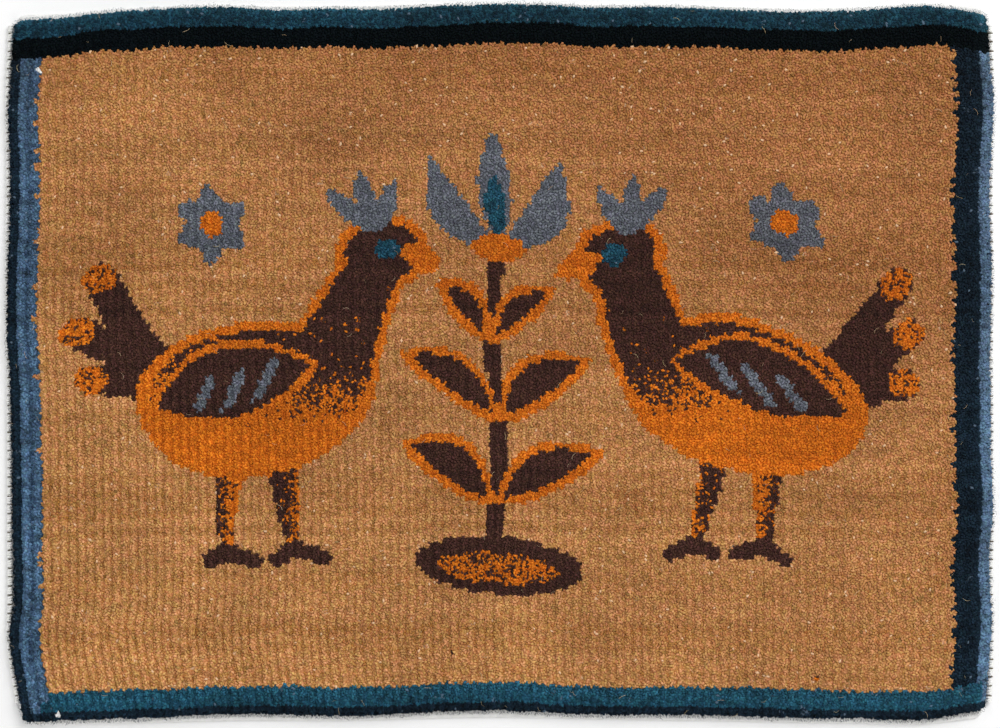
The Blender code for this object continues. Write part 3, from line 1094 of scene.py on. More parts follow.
def mix_colours(tree, share, first, second, blend="MIX"):
    inputs = {0: share, 6: first, 7: second}
    node = add_node(tree, "ShaderNodeMix", inputs, data_type="RGBA", blend_type=blend)
    return node.outputs[2]


def scale_colour(tree, colour, factor):
    """A colour times a number."""
    grey = add_node(tree, "ShaderNodeCombineColor", {0: factor, 1: factor, 2: factor}).outputs[0]
    return mix_colours(tree, 1.0, colour, grey, "MULTIPLY")


CLUMP_SCALE = 2200.0
HAIR_SCALE = 3600.0
LEANING = (1.0, 0.3, 0.5)
CROSSING = (0.3, 1.0, 0.5)
MASK_RANGE = (0.38, 0.68)


def make_fibre_group():
    """Fine wool fibres: a mask and a height that change every fraction of a millimetre."""
    tree, given = new_shader_group(
        "wool fibres",
        (("Place", "NodeSocketVector", (0, 0, 0)), ("Scale", "NodeSocketFloat", 1.0)),
        (("Mask", "NodeSocketFloat"), ("Height", "NodeSocketFloat")),
    )
    place = add_node(
        tree,
        "ShaderNodeVectorMath",
        {0: given["Place"], "Scale": given["Scale"]},
        operation="SCALE",
    ).outputs[0]
    clumps = noise(tree, place, CLUMP_SCALE)
    leaning = noise(tree, place, HAIR_SCALE, stretch=LEANING)
    crossing = noise(tree, place, HAIR_SCALE, stretch=CROSSING)
    hairs = calculate(tree, "MAXIMUM", leaning, crossing)
    mask = calculate(tree, "MULTIPLY_ADD", hairs, 0.5, calculate(tree, "MULTIPLY", clumps, 0.5))
    add_node(
        tree,
        "NodeGroupOutput",
        {"Mask": spread(tree, mask, *MASK_RANGE, 0.0, 1.0), "Height": hairs},
    )
    return tree


ROSY = (1.1, 0.93, 1.0, 1)
GOLDEN = (0.97, 1.04, 0.76, 1)
# Painted light: how much paler and less saturated the wool is painted, from none up to the most
# towards the near left
PAINTED_LIGHT_LEAST = (1, 1, 1, 1)
PAINTED_LIGHT_MOST = (1.48, 1.76, 1.84, 1)
BAND_STRETCH = (2.5, 62.0, 1.0)
PATCH_SCALE = 11.0
KNOT_SCALE = 280.0
KNOT_CHANGE = 0.8
# Where the painted light lies: strongest towards the near left
PAINTED_LIGHT_MIDDLE = 0.4
PAINTED_LIGHT_SLOPE_X = -1.0
PAINTED_LIGHT_SLOPE_Y = -1.8
KEMP_SHARE = 0.6
DULL_CHANGE = -0.4


def make_dye_and_light_group():
    """Colour of dyed wool: ply to ply, fibre to fibre, and in bands where the dye lots change, with
    painted light towards the near left and painted shade at the roots.
    """
    tree, given = new_shader_group(
        "dyed wool",
        (
            ("Place", "NodeSocketVector", (0, 0, 0)),
            ("Tone", "NodeSocketFloat", 0.5),
            ("Hue", "NodeSocketFloat", 0.5),
            ("Tip", "NodeSocketFloat", 1.0),
            ("Fibres", "NodeSocketFloat", 0.5),
            ("Pale", "NodeSocketColor", (0.6, 0.4, 0.2, 1)),
            ("Dark", "NodeSocketColor", (0.2, 0.1, 0.05, 1)),
            ("Banding", "NodeSocketFloat", 0.2),
            ("Fading", "NodeSocketFloat", 1.0),
            ("Root Shade", "NodeSocketFloat", 0.9),
            ("Hue Change", "NodeSocketFloat", 1.0),
            ("Fleck", "NodeSocketFloat", 0.01),
            ("Fleck Color", "NodeSocketColor", (0.78, 0.66, 0.47, 1)),
        ),
        (("Color", "NodeSocketColor"),),
    )
    # Ply to ply, with fibres of both tones in each
    shade = calculate(tree, "MULTIPLY", given["Tone"], 0.5)
    shade = calculate(tree, "MULTIPLY_ADD", given["Fibres"], 0.5, shade)
    colour = mix_colours(tree, shade, given["Dark"], given["Pale"])
    rosy = mix_colours(tree, 1.0, colour, ROSY, "MULTIPLY")
    golden = mix_colours(tree, 1.0, colour, GOLDEN, "MULTIPLY")
    changed = mix_colours(tree, given["Hue"], golden, rosy)
    colour = mix_colours(tree, given["Hue Change"], colour, changed)
    # Bands along the wefts, patches, and groups of knots
    bands = noise(tree, given["Place"], 1.0, stretch=BAND_STRETCH)
    patches = noise(tree, given["Place"], PATCH_SCALE)
    knots = noise(tree, given["Place"], KNOT_SCALE, 1.0)
    knots = spread(tree, knots, 0.3, 0.7, -KNOT_CHANGE, KNOT_CHANGE)
    cloud = calculate(tree, "ADD", bands, patches)
    factor = calculate(tree, "ADD", spread(tree, cloud, 0.7, 1.3, -0.5, 0.5), knots)
    factor = calculate(tree, "MULTIPLY_ADD", factor, given["Banding"], 1.0)
    # Painted light: the near left part is painted paler and less saturated than the far right one
    axes = add_node(tree, "ShaderNodeSeparateXYZ", {0: given["Place"]}).outputs
    painted_light_share = calculate(tree, "MULTIPLY_ADD", axes[0], PAINTED_LIGHT_SLOPE_X, PAINTED_LIGHT_MIDDLE)
    painted_light_share = calculate(tree, "MULTIPLY_ADD", axes[1], PAINTED_LIGHT_SLOPE_Y, painted_light_share)
    painted_light_share = calculate(tree, "MULTIPLY_ADD", calculate(tree, "SUBTRACT", patches, 0.5), 0.8, painted_light_share)
    painted_light_share = spread(tree, painted_light_share, 0.0, 1.0, 0.0, 1.0)
    painted_light_tint = mix_colours(tree, painted_light_share, PAINTED_LIGHT_LEAST, PAINTED_LIGHT_MOST)
    painted_lit_colour = mix_colours(tree, 1.0, colour, painted_light_tint, "MULTIPLY")
    colour = mix_colours(tree, given["Fading"], colour, painted_lit_colour)
    # Less light down among the roots
    root = spread(tree, given["Tip"], 0.4, 0.95, given["Root Shade"], 1.0)
    colour = scale_colour(tree, colour, calculate(tree, "MULTIPLY", factor, root))
    # A few plies hold paler kemp, and as many hold darker wool
    limit = calculate(tree, "SUBTRACT", 1.0, given["Fleck"])
    pale = calculate(tree, "GREATER_THAN", given["Hue"], limit)
    kemp = calculate(tree, "MULTIPLY", pale, KEMP_SHARE)
    colour = mix_colours(tree, kemp, colour, given["Fleck Color"])
    dull = calculate(tree, "LESS_THAN", given["Hue"], given["Fleck"])
    colour = scale_colour(tree, colour, calculate(tree, "MULTIPLY_ADD", dull, DULL_CHANGE, 1.0))
    add_node(tree, "NodeGroupOutput", {"Color": colour})
    return tree


# The third column is each yarn's share of the painted light that makes the near left paler
WoolFinish = namedtuple("WoolFinish", "banding hue fading fleck sheen shine")
WOOL_FINISHES = {
    "field": WoolFinish(banding=0.2, hue=1.0, fading=1.0, fleck=0.008, sheen=0.02, shine=0.1),
    "brown": WoolFinish(banding=0.18, hue=1.0, fading=0.5, fleck=0.0, sheen=0.02, shine=0.15),
    "orange": WoolFinish(banding=0.16, hue=0.6, fading=0.5, fleck=0.0, sheen=0.02, shine=0.15),
    "grey": WoolFinish(banding=0.2, hue=0.5, fading=0.5, fleck=0.0, sheen=0.03, shine=0.2),
    "slate": WoolFinish(banding=0.5, hue=0.6, fading=1.0, fleck=0.02, sheen=0.04, shine=0.2),
    "teal": WoolFinish(banding=0.42, hue=0.6, fading=1.0, fleck=0.01, sheen=0.02, shine=0.15),
    "navy": WoolFinish(banding=0.42, hue=0.5, fading=1.0, fleck=0.006, sheen=0.01, shine=0.1),
    "black": WoolFinish(banding=0.2, hue=0.5, fading=1.0, fleck=0.0, sheen=0.0, shine=0.08),
    "ivory": WoolFinish(banding=0.05, hue=0.1, fading=0.0, fleck=0.0, sheen=0.05, shine=0.2),
    "weft": WoolFinish(banding=0.1, hue=0.5, fading=0.0, fleck=0.0, sheen=0.02, shine=0.1),
    "cream": WoolFinish(banding=0.1, hue=0.5, fading=0.0, fleck=0.0, sheen=0.05, shine=0.2),
}
WOOL_ROUGHNESS = 0.87
FIELD_FLECK = (0.95, 0.7, 0.44, 1)
BLUE_FLECK = (0.14, 0.2, 0.27, 1)
FIBRE_BUMP = 0.55 * MM
BUMP_STRENGTH = 0.8
SHEEN_ROUGHNESS = 0.6


def make_wool(name, group_of_fibres, group_of_dye_and_light):
    """One yarn's finish. It reads the tone, hue and tip that each ply carries."""
    colours = bpy.context.scene.rug_wool
    finish = WOOL_FINISHES[name]
    material = bpy.data.materials.new(f"{name} wool")
    material.use_nodes = True
    tree = material.node_tree
    shader = tree.nodes["Principled BSDF"]
    place = add_node(tree, "ShaderNodeTexCoord").outputs["Object"]
    told = {
        key: add_node(tree, "ShaderNodeAttribute", attribute_name=key).outputs["Fac"]
        for key in ("tone", "hue", "tip")
    }
    fibres = add_node(
        tree, "ShaderNodeGroup", {"Place": place, "Scale": 1.0}, node_tree=group_of_fibres
    ).outputs
    dyed = add_node(
        tree,
        "ShaderNodeGroup",
        {
            "Place": place,
            "Tone": told["tone"],
            "Hue": told["hue"],
            "Tip": told["tip"],
            "Fibres": fibres["Mask"],
            "Pale": (*getattr(colours, f"{name}_light"), 1),
            "Dark": (*getattr(colours, f"{name}_dark"), 1),
            "Banding": finish.banding,
            "Fading": finish.fading,
            "Hue Change": finish.hue,
            "Fleck": finish.fleck,
            "Fleck Color": FIELD_FLECK if name == "field" else BLUE_FLECK,
        },
        node_tree=group_of_dye_and_light,
    ).outputs
    bump = add_node(
        tree,
        "ShaderNodeBump",
        {"Height": fibres["Height"], "Distance": FIBRE_BUMP, "Strength": BUMP_STRENGTH},
    )
    tree.links.new(dyed["Color"], shader.inputs["Base Color"])
    tree.links.new(bump.outputs["Normal"], shader.inputs["Normal"])
    shader.inputs["Roughness"].default_value = WOOL_ROUGHNESS
    shader.inputs["Sheen Weight"].default_value = finish.sheen
    shader.inputs["Sheen Roughness"].default_value = SHEEN_ROUGHNESS
    shader.inputs["Specular IOR Level"].default_value = finish.shine
    return material


def wool_finishes():
    """Every yarn's material, in the order of the chart's numbers."""
    if "field wool" not in bpy.data.materials:
        fibres, dye = make_fibre_group(), make_dye_and_light_group()
        for yarn in YARNS:
            make_wool(yarn.name, fibres, dye)
    return [bpy.data.materials[f"{yarn.name} wool"] for yarn in YARNS]


def keep(piece, node):
    """Puts a finished piece on the rug's body, and hides the imported part that it stands in for.
    """
    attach(piece, BODY)
    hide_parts(node)


# The knotted ground, and closed wool under the tips

GROUND_TOP = 2.9 * MM
GROUND_SIDE = 2.3 * MM
BACK_MARGIN = 0.2 * MM
BACK_RELIEF = 0.35 * MM
BACK_SHAKE = 0.08 * MM
ROOT_MARGIN = 3.4 * MM
CORE_INSET = 2.3 * MM
CORE_ROOT_INSET = 3.9 * MM
CORE_BOTTOM = 1.8 * MM
CORE_RIM_DROP = 1 * MM
CORE_DIP = 0.6
# The closed wool takes the painted shade at the roots as if it stood this far up a ply; its sides
# are darker
CORE_TIP = 0.9
CORE_SIDE_TIP = 0.6


def paint_knots(mesh, yarns, tips, draw):
    """Gives each face its yarn's finish, and the values that the finish reads."""
    for material in wool_finishes():
        mesh.materials.append(material)
    mesh.polygons.foreach_set("material_index", yarns.astype(np.int32))
    mesh.shade_smooth()
    set_values(mesh, "tone", "FLOAT", "FACE", 0.2 + 0.5 * draw.random(len(yarns)))
    set_values(mesh, "hue", "FLOAT", "FACE", draw.random(len(yarns)))
    set_values(mesh, "tip", "FLOAT", "FACE", tips)


def make_ground(chart, pile):
    """One closed flat cloth, with the rows of knots' backs underneath."""
    draw = np.random.default_rng(pile.seed + 200)
    along, across = np.meshgrid(ROW_LINES[::2], COLUMN_LINES, indexing="ij")
    rows, columns = across.shape
    walk = rim_walk(columns, rows)
    side = (walk[:, 0], walk[:, 1])
    x, _ = GROUND_LINE.place(across, along, BACK_MARGIN)
    _, y = PILE_LINE.place(across, along, 0, ROOT_MARGIN)
    z = np.where(np.arange(columns) % 2 == 0, BACK_RELIEF, 0.0) + BACK_SHAKE * draw.random(x.shape)
    top_x, top_y = PILE_LINE.place(across[side], along[side], ROOT_MARGIN, ROOT_MARGIN)
    top_x = np.clip(top_x, x[side].min(), x[side].max())
    level = np.ones(len(walk))
    points = (
        np.stack((x, y, z), axis=-1).reshape(-1, 3),
        np.stack((x[side], y[side], GROUND_SIDE * level), axis=-1),
        np.stack((top_x, top_y, GROUND_TOP * level), axis=-1),
        np.array(((0, 0, GROUND_TOP),)),
    )
    rim = walk[:, 0] * columns + walk[:, 1]
    side_ring = rows * columns + np.arange(len(walk))
    top_ring = side_ring + len(walk)
    middle = top_ring[-1] + 1
    mesh = new_mesh(
        "rug_ground",
        np.concatenate(points),
        grid_faces(columns, rows)[:, ::-1],
        ring_faces(side_ring, rim),
        ring_faces(top_ring, side_ring),
        fan_faces(top_ring, middle),
    )
    backs = chart.yarn[::2].ravel()
    backs = np.where(draw.random(len(backs)) < chart.brown[::2].ravel(), BROWN, backs)
    yarns = np.r_[backs, np.full(3 * len(walk), IVORY)]
    paint_knots(mesh, yarns, np.ones(len(yarns)), draw)
    keep(new_object("rug_ground", mesh), "rug_body")


def make_core(chart, pile):
    """Closed wool under the tips, of the same colours, which shows between the plies."""
    grid = make_tip_grid(np.random.default_rng(pile.seed + 100))
    rows, columns = grid.x.shape
    walk = rim_walk(columns, rows)
    side = (walk[:, 0], walk[:, 1])
    inward = np.maximum(CORE_INSET - grid.inset, 0)
    x, y = grid.x - grid.out_x * inward, grid.y - grid.out_y * inward
    z = pile_height(grid.inset, x, y) - pile.core_depth
    z = z - np.where(grid.inset < 1 * MM, CORE_RIM_DROP, 0)
    dip = CORE_DIP * pile.rib_drop * rib_strength(x, y) ** 2
    z = z - np.where(np.arange(columns) % 2 == 0, dip, 0)
    root_x = grid.x[side] - grid.out_x[side] * CORE_ROOT_INSET
    root_y = grid.y[side] - grid.out_y[side] * CORE_ROOT_INSET
    points = (
        np.stack((x, y, z), axis=-1).reshape(-1, 3),
        np.stack((root_x, root_y, np.full(len(walk), CORE_BOTTOM)), axis=-1),
        np.array(((0, 0, CORE_BOTTOM),)),
    )
    rim = walk[:, 0] * columns + walk[:, 1]
    root_ring = rows * columns + np.arange(len(walk))
    middle = root_ring[-1] + 1
    mesh = new_mesh(
        "pile_core",
        np.concatenate(points),
        grid_faces(columns, rows),
        ring_faces(rim, root_ring),
        fan_faces(root_ring, middle)[:, ::-1],
    )
    draw = np.random.default_rng(pile.seed + 250)
    tops = chart.yarn.ravel()
    tops = np.where(draw.random(len(tops)) < chart.brown.ravel(), BROWN, tops)
    beside = chart.yarn[np.minimum(walk[:, 0], rows - 2), np.minimum(walk[:, 1], columns - 2)]
    yarns = np.r_[tops, beside, beside]
    tips = np.r_[np.full(len(tops), CORE_TIP), np.full(2 * len(walk), CORE_SIDE_TIP)]
    paint_knots(mesh, yarns, tips, draw)
    keep(new_object("pile_core", mesh), "rug_body")


# The pile, yarn by yarn

PileBlock = namedtuple("PileBlock", "piece yarn start end", defaults=(-1.0, 1.0))
PILE_BLOCKS = (
    PileBlock(piece="pile_field_1", yarn=FIELD, start=-1.0, end=-0.17),
    PileBlock(piece="pile_field_2", yarn=FIELD, start=-0.17, end=0.0),
    PileBlock(piece="pile_field_3", yarn=FIELD, start=0.0, end=0.17),
    PileBlock(piece="pile_field_4", yarn=FIELD, start=0.17, end=1.0),
    PileBlock(piece="pile_brown", yarn=BROWN),
    PileBlock(piece="pile_orange", yarn=ORANGE),
    PileBlock(piece="pile_grey", yarn=GREY),
    PileBlock(piece="pile_slate", yarn=SLATE),
    PileBlock(piece="pile_teal", yarn=TEAL),
    PileBlock(piece="pile_navy", yarn=NAVY),
    PileBlock(piece="pile_black", yarn=BLACK),
    PileBlock(piece="pile_ivory", yarn=IVORY),
)


def make_pile(chart, pile):
    """Every yarn's cut plies, each yarn its own piece and the field in four."""
    finishes = wool_finishes()
    sheet = make_tip_sheet(chart, pile)
    shapes = make_ply_shapes(pile.seed + 300)
    tree = make_pile_tree(shapes)
    for block in PILE_BLOCKS:
        values = {
            "Seed": pile.seed,
            "Spacing": pile.ply_spacing,
            "Ply Width": pile.ply_width,
            "Tilt": pile.tilt,
            "Uneven Cut": pile.height_drop,
            "Rib Drop": pile.rib_drop,
            "Rib Shade": pile.rib_shade,
            "Yarn": block.yarn,
            "Block Start": block.start,
            "Block End": block.end,
            "Material": finishes[block.yarn],
        }
        piece = apply_tree(sheet, tree, values, block.piece)
        keep(piece, "rug_body")
    bpy.data.objects.remove(sheet)
    bpy.data.node_groups.remove(tree)
    remove_collection(shapes)


# Fuzz: fine hairs that stand out from the sides of the outermost tufts

HairRing = namedtuple("HairRing", "inset height out up")
HAIR_RINGS = (
    HairRing(inset=0.9 * MM, height=8.8 * MM, out=2.6 * MM, up=1.4 * MM),
    HairRing(inset=0.0 * MM, height=6.6 * MM, out=3.0 * MM, up=0.6 * MM),
    HairRing(inset=0.6 * MM, height=4.0 * MM, out=2.6 * MM, up=0.1 * MM),
)
HAIR_REACH = (0.2 * MM, 2.2 * MM)
HAIR_TILT = 0.9
HAIR_YARNS = (SLATE, TEAL, NAVY, BLACK)


def make_hair_sheet(chart, draw):
    """A ragged sheet round the rim, on which the tips of the hairs are scattered."""
    along, across = np.meshgrid(ROW_LINES, COLUMN_LINES, indexing="ij")
    rows, columns = across.shape
    walk = rim_walk(columns, rows)
    side = (walk[:, 0], walk[:, 1])
    beside = (np.minimum(walk[:, 0], rows - 2), np.minimum(walk[:, 1], columns - 2))
    _, out_x, out_y = inset_of(across[side], along[side])
    x, y = PILE_LINE.place(across[side], along[side], RIM_MARGIN, RIM_MARGIN)
    points, leans = [], []
    for ring in HAIR_RINGS:
        reach = draw.uniform(*HAIR_REACH, len(walk)) - ring.inset
        height = np.full(len(walk), ring.height)
        points.append(np.stack((x + out_x * reach, y + out_y * reach, height), axis=-1))
        leans.append(
            np.stack((out_x * ring.out, out_y * ring.out, np.full(len(walk), ring.up)), axis=-1)
        )
    number = np.arange(len(walk) * len(HAIR_RINGS)).reshape(len(HAIR_RINGS), -1)
    faces = np.concatenate([ring_faces(*pair) for pair in zip(number, number[1:])])
    mesh = new_mesh("hair sheet", np.concatenate(points), faces)
    set_values(mesh, "lean", "FLOAT_VECTOR", "POINT", np.concatenate(leans))
    yarn = np.tile(chart.yarn[beside], len(HAIR_RINGS) - 1)
    set_values(mesh, "yarn", "INT", "FACE", yarn.astype(np.int32))
    return new_object("hair sheet", mesh)


def make_hairs(chart, pile):
    """Hairs of the outer stripes' yarns, made by the tree that makes the plies."""
    sheet = make_hair_sheet(chart, np.random.default_rng(pile.seed + 500))
    shapes = make_ply_shapes(pile.seed + 600)
    tree = make_pile_tree(shapes)
    for yarn in HAIR_YARNS:
        values = {
            "Seed": pile.seed,
            "Spacing": pile.hair_spacing,
            "Ply Width": pile.hair_width,
            "Tilt": HAIR_TILT,
            "Uneven Cut": pile.height_drop,
            "Yarn": yarn,
            "Material": wool_finishes()[yarn],
        }
        piece = apply_tree(sheet, tree, values, f"rim_hairs_{YARNS[yarn].name}")
        keep(piece, "rug_body")
    bpy.data.objects.remove(sheet)
    bpy.data.node_groups.remove(tree)
    remove_collection(shapes)


# The flat-woven ends, each a closed strip that shows beyond the pile

BandRing = namedtuple("BandRing", "inset height relief")
BAND_SECTION = (
    BandRing(inset=6.6 * MM, height=2.0 * MM, relief=0.0),
    BandRing(inset=3.4 * MM, height=2.2 * MM, relief=1.0),
    BandRing(inset=2.3 * MM, height=2.2 * MM, relief=-1.0),
    BandRing(inset=1.2 * MM, height=2.0 * MM, relief=1.0),
    BandRing(inset=0.2 * MM, height=1.7 * MM, relief=-1.0),
    BandRing(inset=0.0 * MM, height=0.9 * MM, relief=1.0),
    BandRing(inset=0.6 * MM, height=0.2 * MM, relief=0.0),
    BandRing(inset=6.6 * MM, height=0.1 * MM, relief=0.0),
)
BAND_STATION = 1.15 * MM
BAND_CORNER = 12 * MM
BAND_FRAY = 0.3 * MM
NEAR_BAND_SEED = 21
FAR_BAND_SEED = 22


def band_walk(end):
    """Shares along a band, up one side's corner, across the end and down the other corner."""
    turn = 1 - BAND_CORNER / HALF_WIDTH
    turn_steps = round(BAND_CORNER / BAND_STATION)
    end_steps = round(2 * HALF_LENGTH / BAND_STATION)
    along = np.r_[np.linspace(turn, 1, turn_steps, False), np.ones(end_steps)]
    along = np.r_[along, np.linspace(1, turn, turn_steps)]
    across = np.r_[-np.ones(turn_steps), np.linspace(-1, 1, end_steps), np.ones(turn_steps)]
    return across * -end, along * end


def make_band(name, end, edge, seed):
    """The flat-woven strip at one end: 1 is the far end and -1 the near one."""
    draw = np.random.default_rng(seed)
    across, along = band_walk(end)
    stations = len(across)
    odd = np.where(np.arange(stations) % 2 == 0, 1, -1)
    fray = BAND_FRAY * draw.random(stations)
    rings = []
    for ring in BAND_SECTION:
        inset = ring.inset + np.where(ring.inset < 1 * MM, fray, 0)
        x, y = GROUND_LINE.place(
            across * (1 - inset / HALF_LENGTH), along * (1 - inset / HALF_WIDTH)
        )
        lift = ring.relief * odd * edge.weave_relief * (0.6 + 0.8 * draw.random(stations))
        rings.append(np.stack((x, y, ring.height + lift), axis=-1))
    points = np.stack(rings, axis=1)
    sides = len(BAND_SECTION)
    number = np.arange(stations * sides).reshape(stations, sides)
    after = np.roll(number, -1, axis=1)
    faces = np.stack((number[:-1], after[:-1], after[1:], number[1:]), axis=-1).reshape(-1, 4)
    mesh = bpy.data.meshes.new(name)
    caps = [tuple(reversed(number[0].tolist())), tuple(number[-1].tolist())]
    mesh.from_pydata(points.reshape(-1, 3).tolist(), [], faces.tolist() + caps)
    mesh.shade_smooth()
    tone = np.repeat(draw.random(stations - 1), sides)
    tone = 0.35 + 0.6 * (0.5 * tone + 0.5 * draw.random(len(faces)))
    set_values(mesh, "tone", "FLOAT", "FACE", np.r_[tone, 0.6, 0.6])
    set_values(mesh, "hue", "FLOAT", "FACE", draw.random(len(faces) + 2))
    set_values(mesh, "tip", "FLOAT", "FACE", np.ones(len(faces) + 2))
    mesh.materials.append(wool_finishes()[IVORY])
    keep(new_object(name, mesh), "rug_body")


def make_bands(edge):
    """Both flat-woven ends."""
    make_band("band_near", -1, edge, NEAR_BAND_SEED)
    make_band("band_far", 1, edge, FAR_BAND_SEED)


# The side cords: a core, overcast wraps of ivory yarn, and the weft's turns between them, dark as
# painted shade in the gaps

SideCord = namedtuple("SideCord", "name node way weft_reach")
SIDE_CORDS = (
    SideCord(name="left", node="side_cord_left", way=-1, weft_reach=0.74),
    SideCord(name="right", node="side_cord_right", way=1, weft_reach=0.93),
)
RING_STEPS = 10
RING_SIDES = 5
CORE_SHARE = 0.5
CORE_END = 2 * MM
STRAND_FAN = 0.16
WEFT_SHIFT = 0.08
WEFT_UNEVEN = 0.06
CORE_SIDES = 8
RING_SEED = 31
WEFT_SEED = 32
RING_UNEVENNESS = 0.09
TURN_THICKNESS = 0.5
STRAND_ROUND = 2.1 * MM


def cord_path(cord, wraps):
    """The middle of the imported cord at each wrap, and the cord's half thickness."""
    low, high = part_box(cord.node)
    half = (high[2] - low[2]) / 2
    height = low[2] + half
    solid = solid_of(cord.node)
    y = low[1] + (high[1] - low[1]) * (np.arange(wraps) + 0.5) / wraps
    outside = [
        first_face(solid, (cord.way * OUTSIDE, place, height), (-cord.way, 0, 0)).x for place in y
    ]
    return np.array(outside) - cord.way * half, y, height, half


def strand_ring(name, thickness):
    """One turn of yarn round the cord, of outer radius one, that faces along Y."""
    points, faces, patch = [], [], []
    for step in range(RING_STEPS):
        round_angle = 2 * math.pi * step / RING_STEPS
        for side in range(RING_SIDES):
            angle = 2 * math.pi * (side + 0.5) / RING_SIDES
            reach = 1 - thickness / 2 + thickness / 2 * math.cos(angle)
            points.append(
                (
                    reach * math.cos(round_angle),
                    thickness / 2 * math.sin(angle),
                    reach * math.sin(round_angle),
                )
            )
    for step in range(RING_STEPS):
        for side in range(RING_SIDES):
            corners = ((step, side), (step, side + 1), (step + 1, side + 1), (step + 1, side))
            faces.append([(i % RING_STEPS) * RING_SIDES + j % RING_SIDES for i, j in corners])
            patch += [(i / RING_STEPS, j / RING_SIDES) for i, j in corners]
    mesh = bpy.data.meshes.new(name)
    mesh.from_pydata(points, [], faces)
    mesh.shade_smooth()
    set_values(mesh, "tip", "FLOAT", "POINT", np.ones(len(points)))
    set_values(mesh, "patch", "FLOAT2", "CORNER", patch)
    return bpy.data.objects.new(name, mesh)


def make_ring_tree(shape):
    """A ring of yarn on each point, turned and sized by what the point carries."""
    tree, given = new_geometry_tree(
        "yarn rings",
        (
            ("Seed", "NodeSocketInt", 0),
            ("Unevenness", "NodeSocketFloat", 0.08),
            ("Material", "NodeSocketMaterial", None),
        ),
    )
    points = add_node(tree, "GeometryNodeMeshToPoints", {"Mesh": given["Geometry"]}).outputs[0]
    points = store(tree, points, "tone", random_number(tree, 0.3, 1.0, 3))
    points = store(tree, points, "hue", random_number(tree, 0.0, 1.0, 4))
    index = add_node(tree, "GeometryNodeInputIndex").outputs[0]
    points = store(tree, points, "cell", index, kind="INT")
    shake = add_node(
        tree,
        "ShaderNodeVectorMath",
        {0: random_vector(tree, 1.0, given["Seed"]), "Scale": given["Unevenness"]},
        operation="SCALE",
    ).outputs[0]
    turned = add_node(
        tree,
        "ShaderNodeVectorMath",
        {0: stored(tree, "turn", "FLOAT_VECTOR"), 1: shake},
        operation="ADD",
    ).outputs[0]
    rings = add_node(
        tree,
        "GeometryNodeInstanceOnPoints",
        {
            "Points": points,
            "Instance": add_node(
                tree, "GeometryNodeObjectInfo", {"Object": shape}
            ).outputs["Geometry"],
            "Rotation": turned,
            "Scale": stored(tree, "size", "FLOAT_VECTOR"),
        },
    ).outputs[0]
    count = add_node(
        tree, "GeometryNodeAttributeDomainSize", {"Geometry": points}, component="POINTCLOUD"
    ).outputs["Point Count"]
    realized = add_node(tree, "GeometryNodeRealizeInstances", {"Geometry": rings}).outputs[0]
    for name in ("turn", "size"):
        realized = add_node(
            tree, "GeometryNodeRemoveAttribute", {"Geometry": realized, "Name": name}
        ).outputs[0]
    end_geometry_tree(tree, store_cells(tree, realized, count), given["Material"])
    return tree


def ring_places(x, y, height, turn, size):
    """An object with a point for each ring, and the ring's turn and size."""
    points = np.stack((x, y, np.full(len(x), height)), axis=-1)
    mesh = bpy.data.meshes.new("ring places")
    mesh.from_pydata(points.tolist(), [], [])
    turns = np.zeros((len(x), 3))
    turns[:, 2] = turn
    set_values(mesh, "turn", "FLOAT_VECTOR", "POINT", turns)
    set_values(mesh, "size", "FLOAT_VECTOR", "POINT", size)
    return new_object("ring places", mesh)


def make_rings(name, cord, tree, places, yarn):
    """Runs the ring tree on some places and keeps the result as a piece of the cord."""
    values = {
        "Seed": RING_SEED,
        "Unevenness": RING_UNEVENNESS,
        "Material": wool_finishes()[yarn],
    }
    keep(apply_tree(places, tree, values, name), cord.node)
    bpy.data.objects.remove(places)


def make_cord_core(cord, x, y, height, radius):
    """The warps inside the wraps, one closed round strand."""
    spin = 2 * np.pi * np.arange(CORE_SIDES) / CORE_SIDES
    ends = np.r_[y[0] - CORE_END, y[1:-1], y[-1] + CORE_END]
    points = np.stack(
        (
            x[:, None] + radius * np.cos(spin)[None, :],
            np.repeat(ends[:, None], CORE_SIDES, axis=1),
            height + radius * np.sin(spin)[None, :] + 0 * x[:, None],
        ),
        axis=-1,
    )
    number = np.arange(len(x) * CORE_SIDES).reshape(-1, CORE_SIDES)
    after = np.roll(number, -1, axis=1)
    faces = np.stack((number[:-1], number[1:], after[1:], after[:-1]), axis=-1).reshape(-1, 4)
    mesh = bpy.data.meshes.new(f"cord_core_{cord.name}")
    caps = [tuple(number[0].tolist()), tuple(reversed(number[-1].tolist()))]
    mesh.from_pydata(points.reshape(-1, 3).tolist(), [], faces.tolist() + caps)
    mesh.shade_smooth()
    # A low tone and tip paint shade on the core, deep inside the wraps
    for key, value in (("tone", 0.3), ("hue", 0.5), ("tip", 0.8)):
        set_values(mesh, key, "FLOAT", "POINT", np.full(points.size // 3, value))
    mesh.materials.append(wool_finishes()[IVORY])
    keep(new_object(mesh.name, mesh), cord.node)


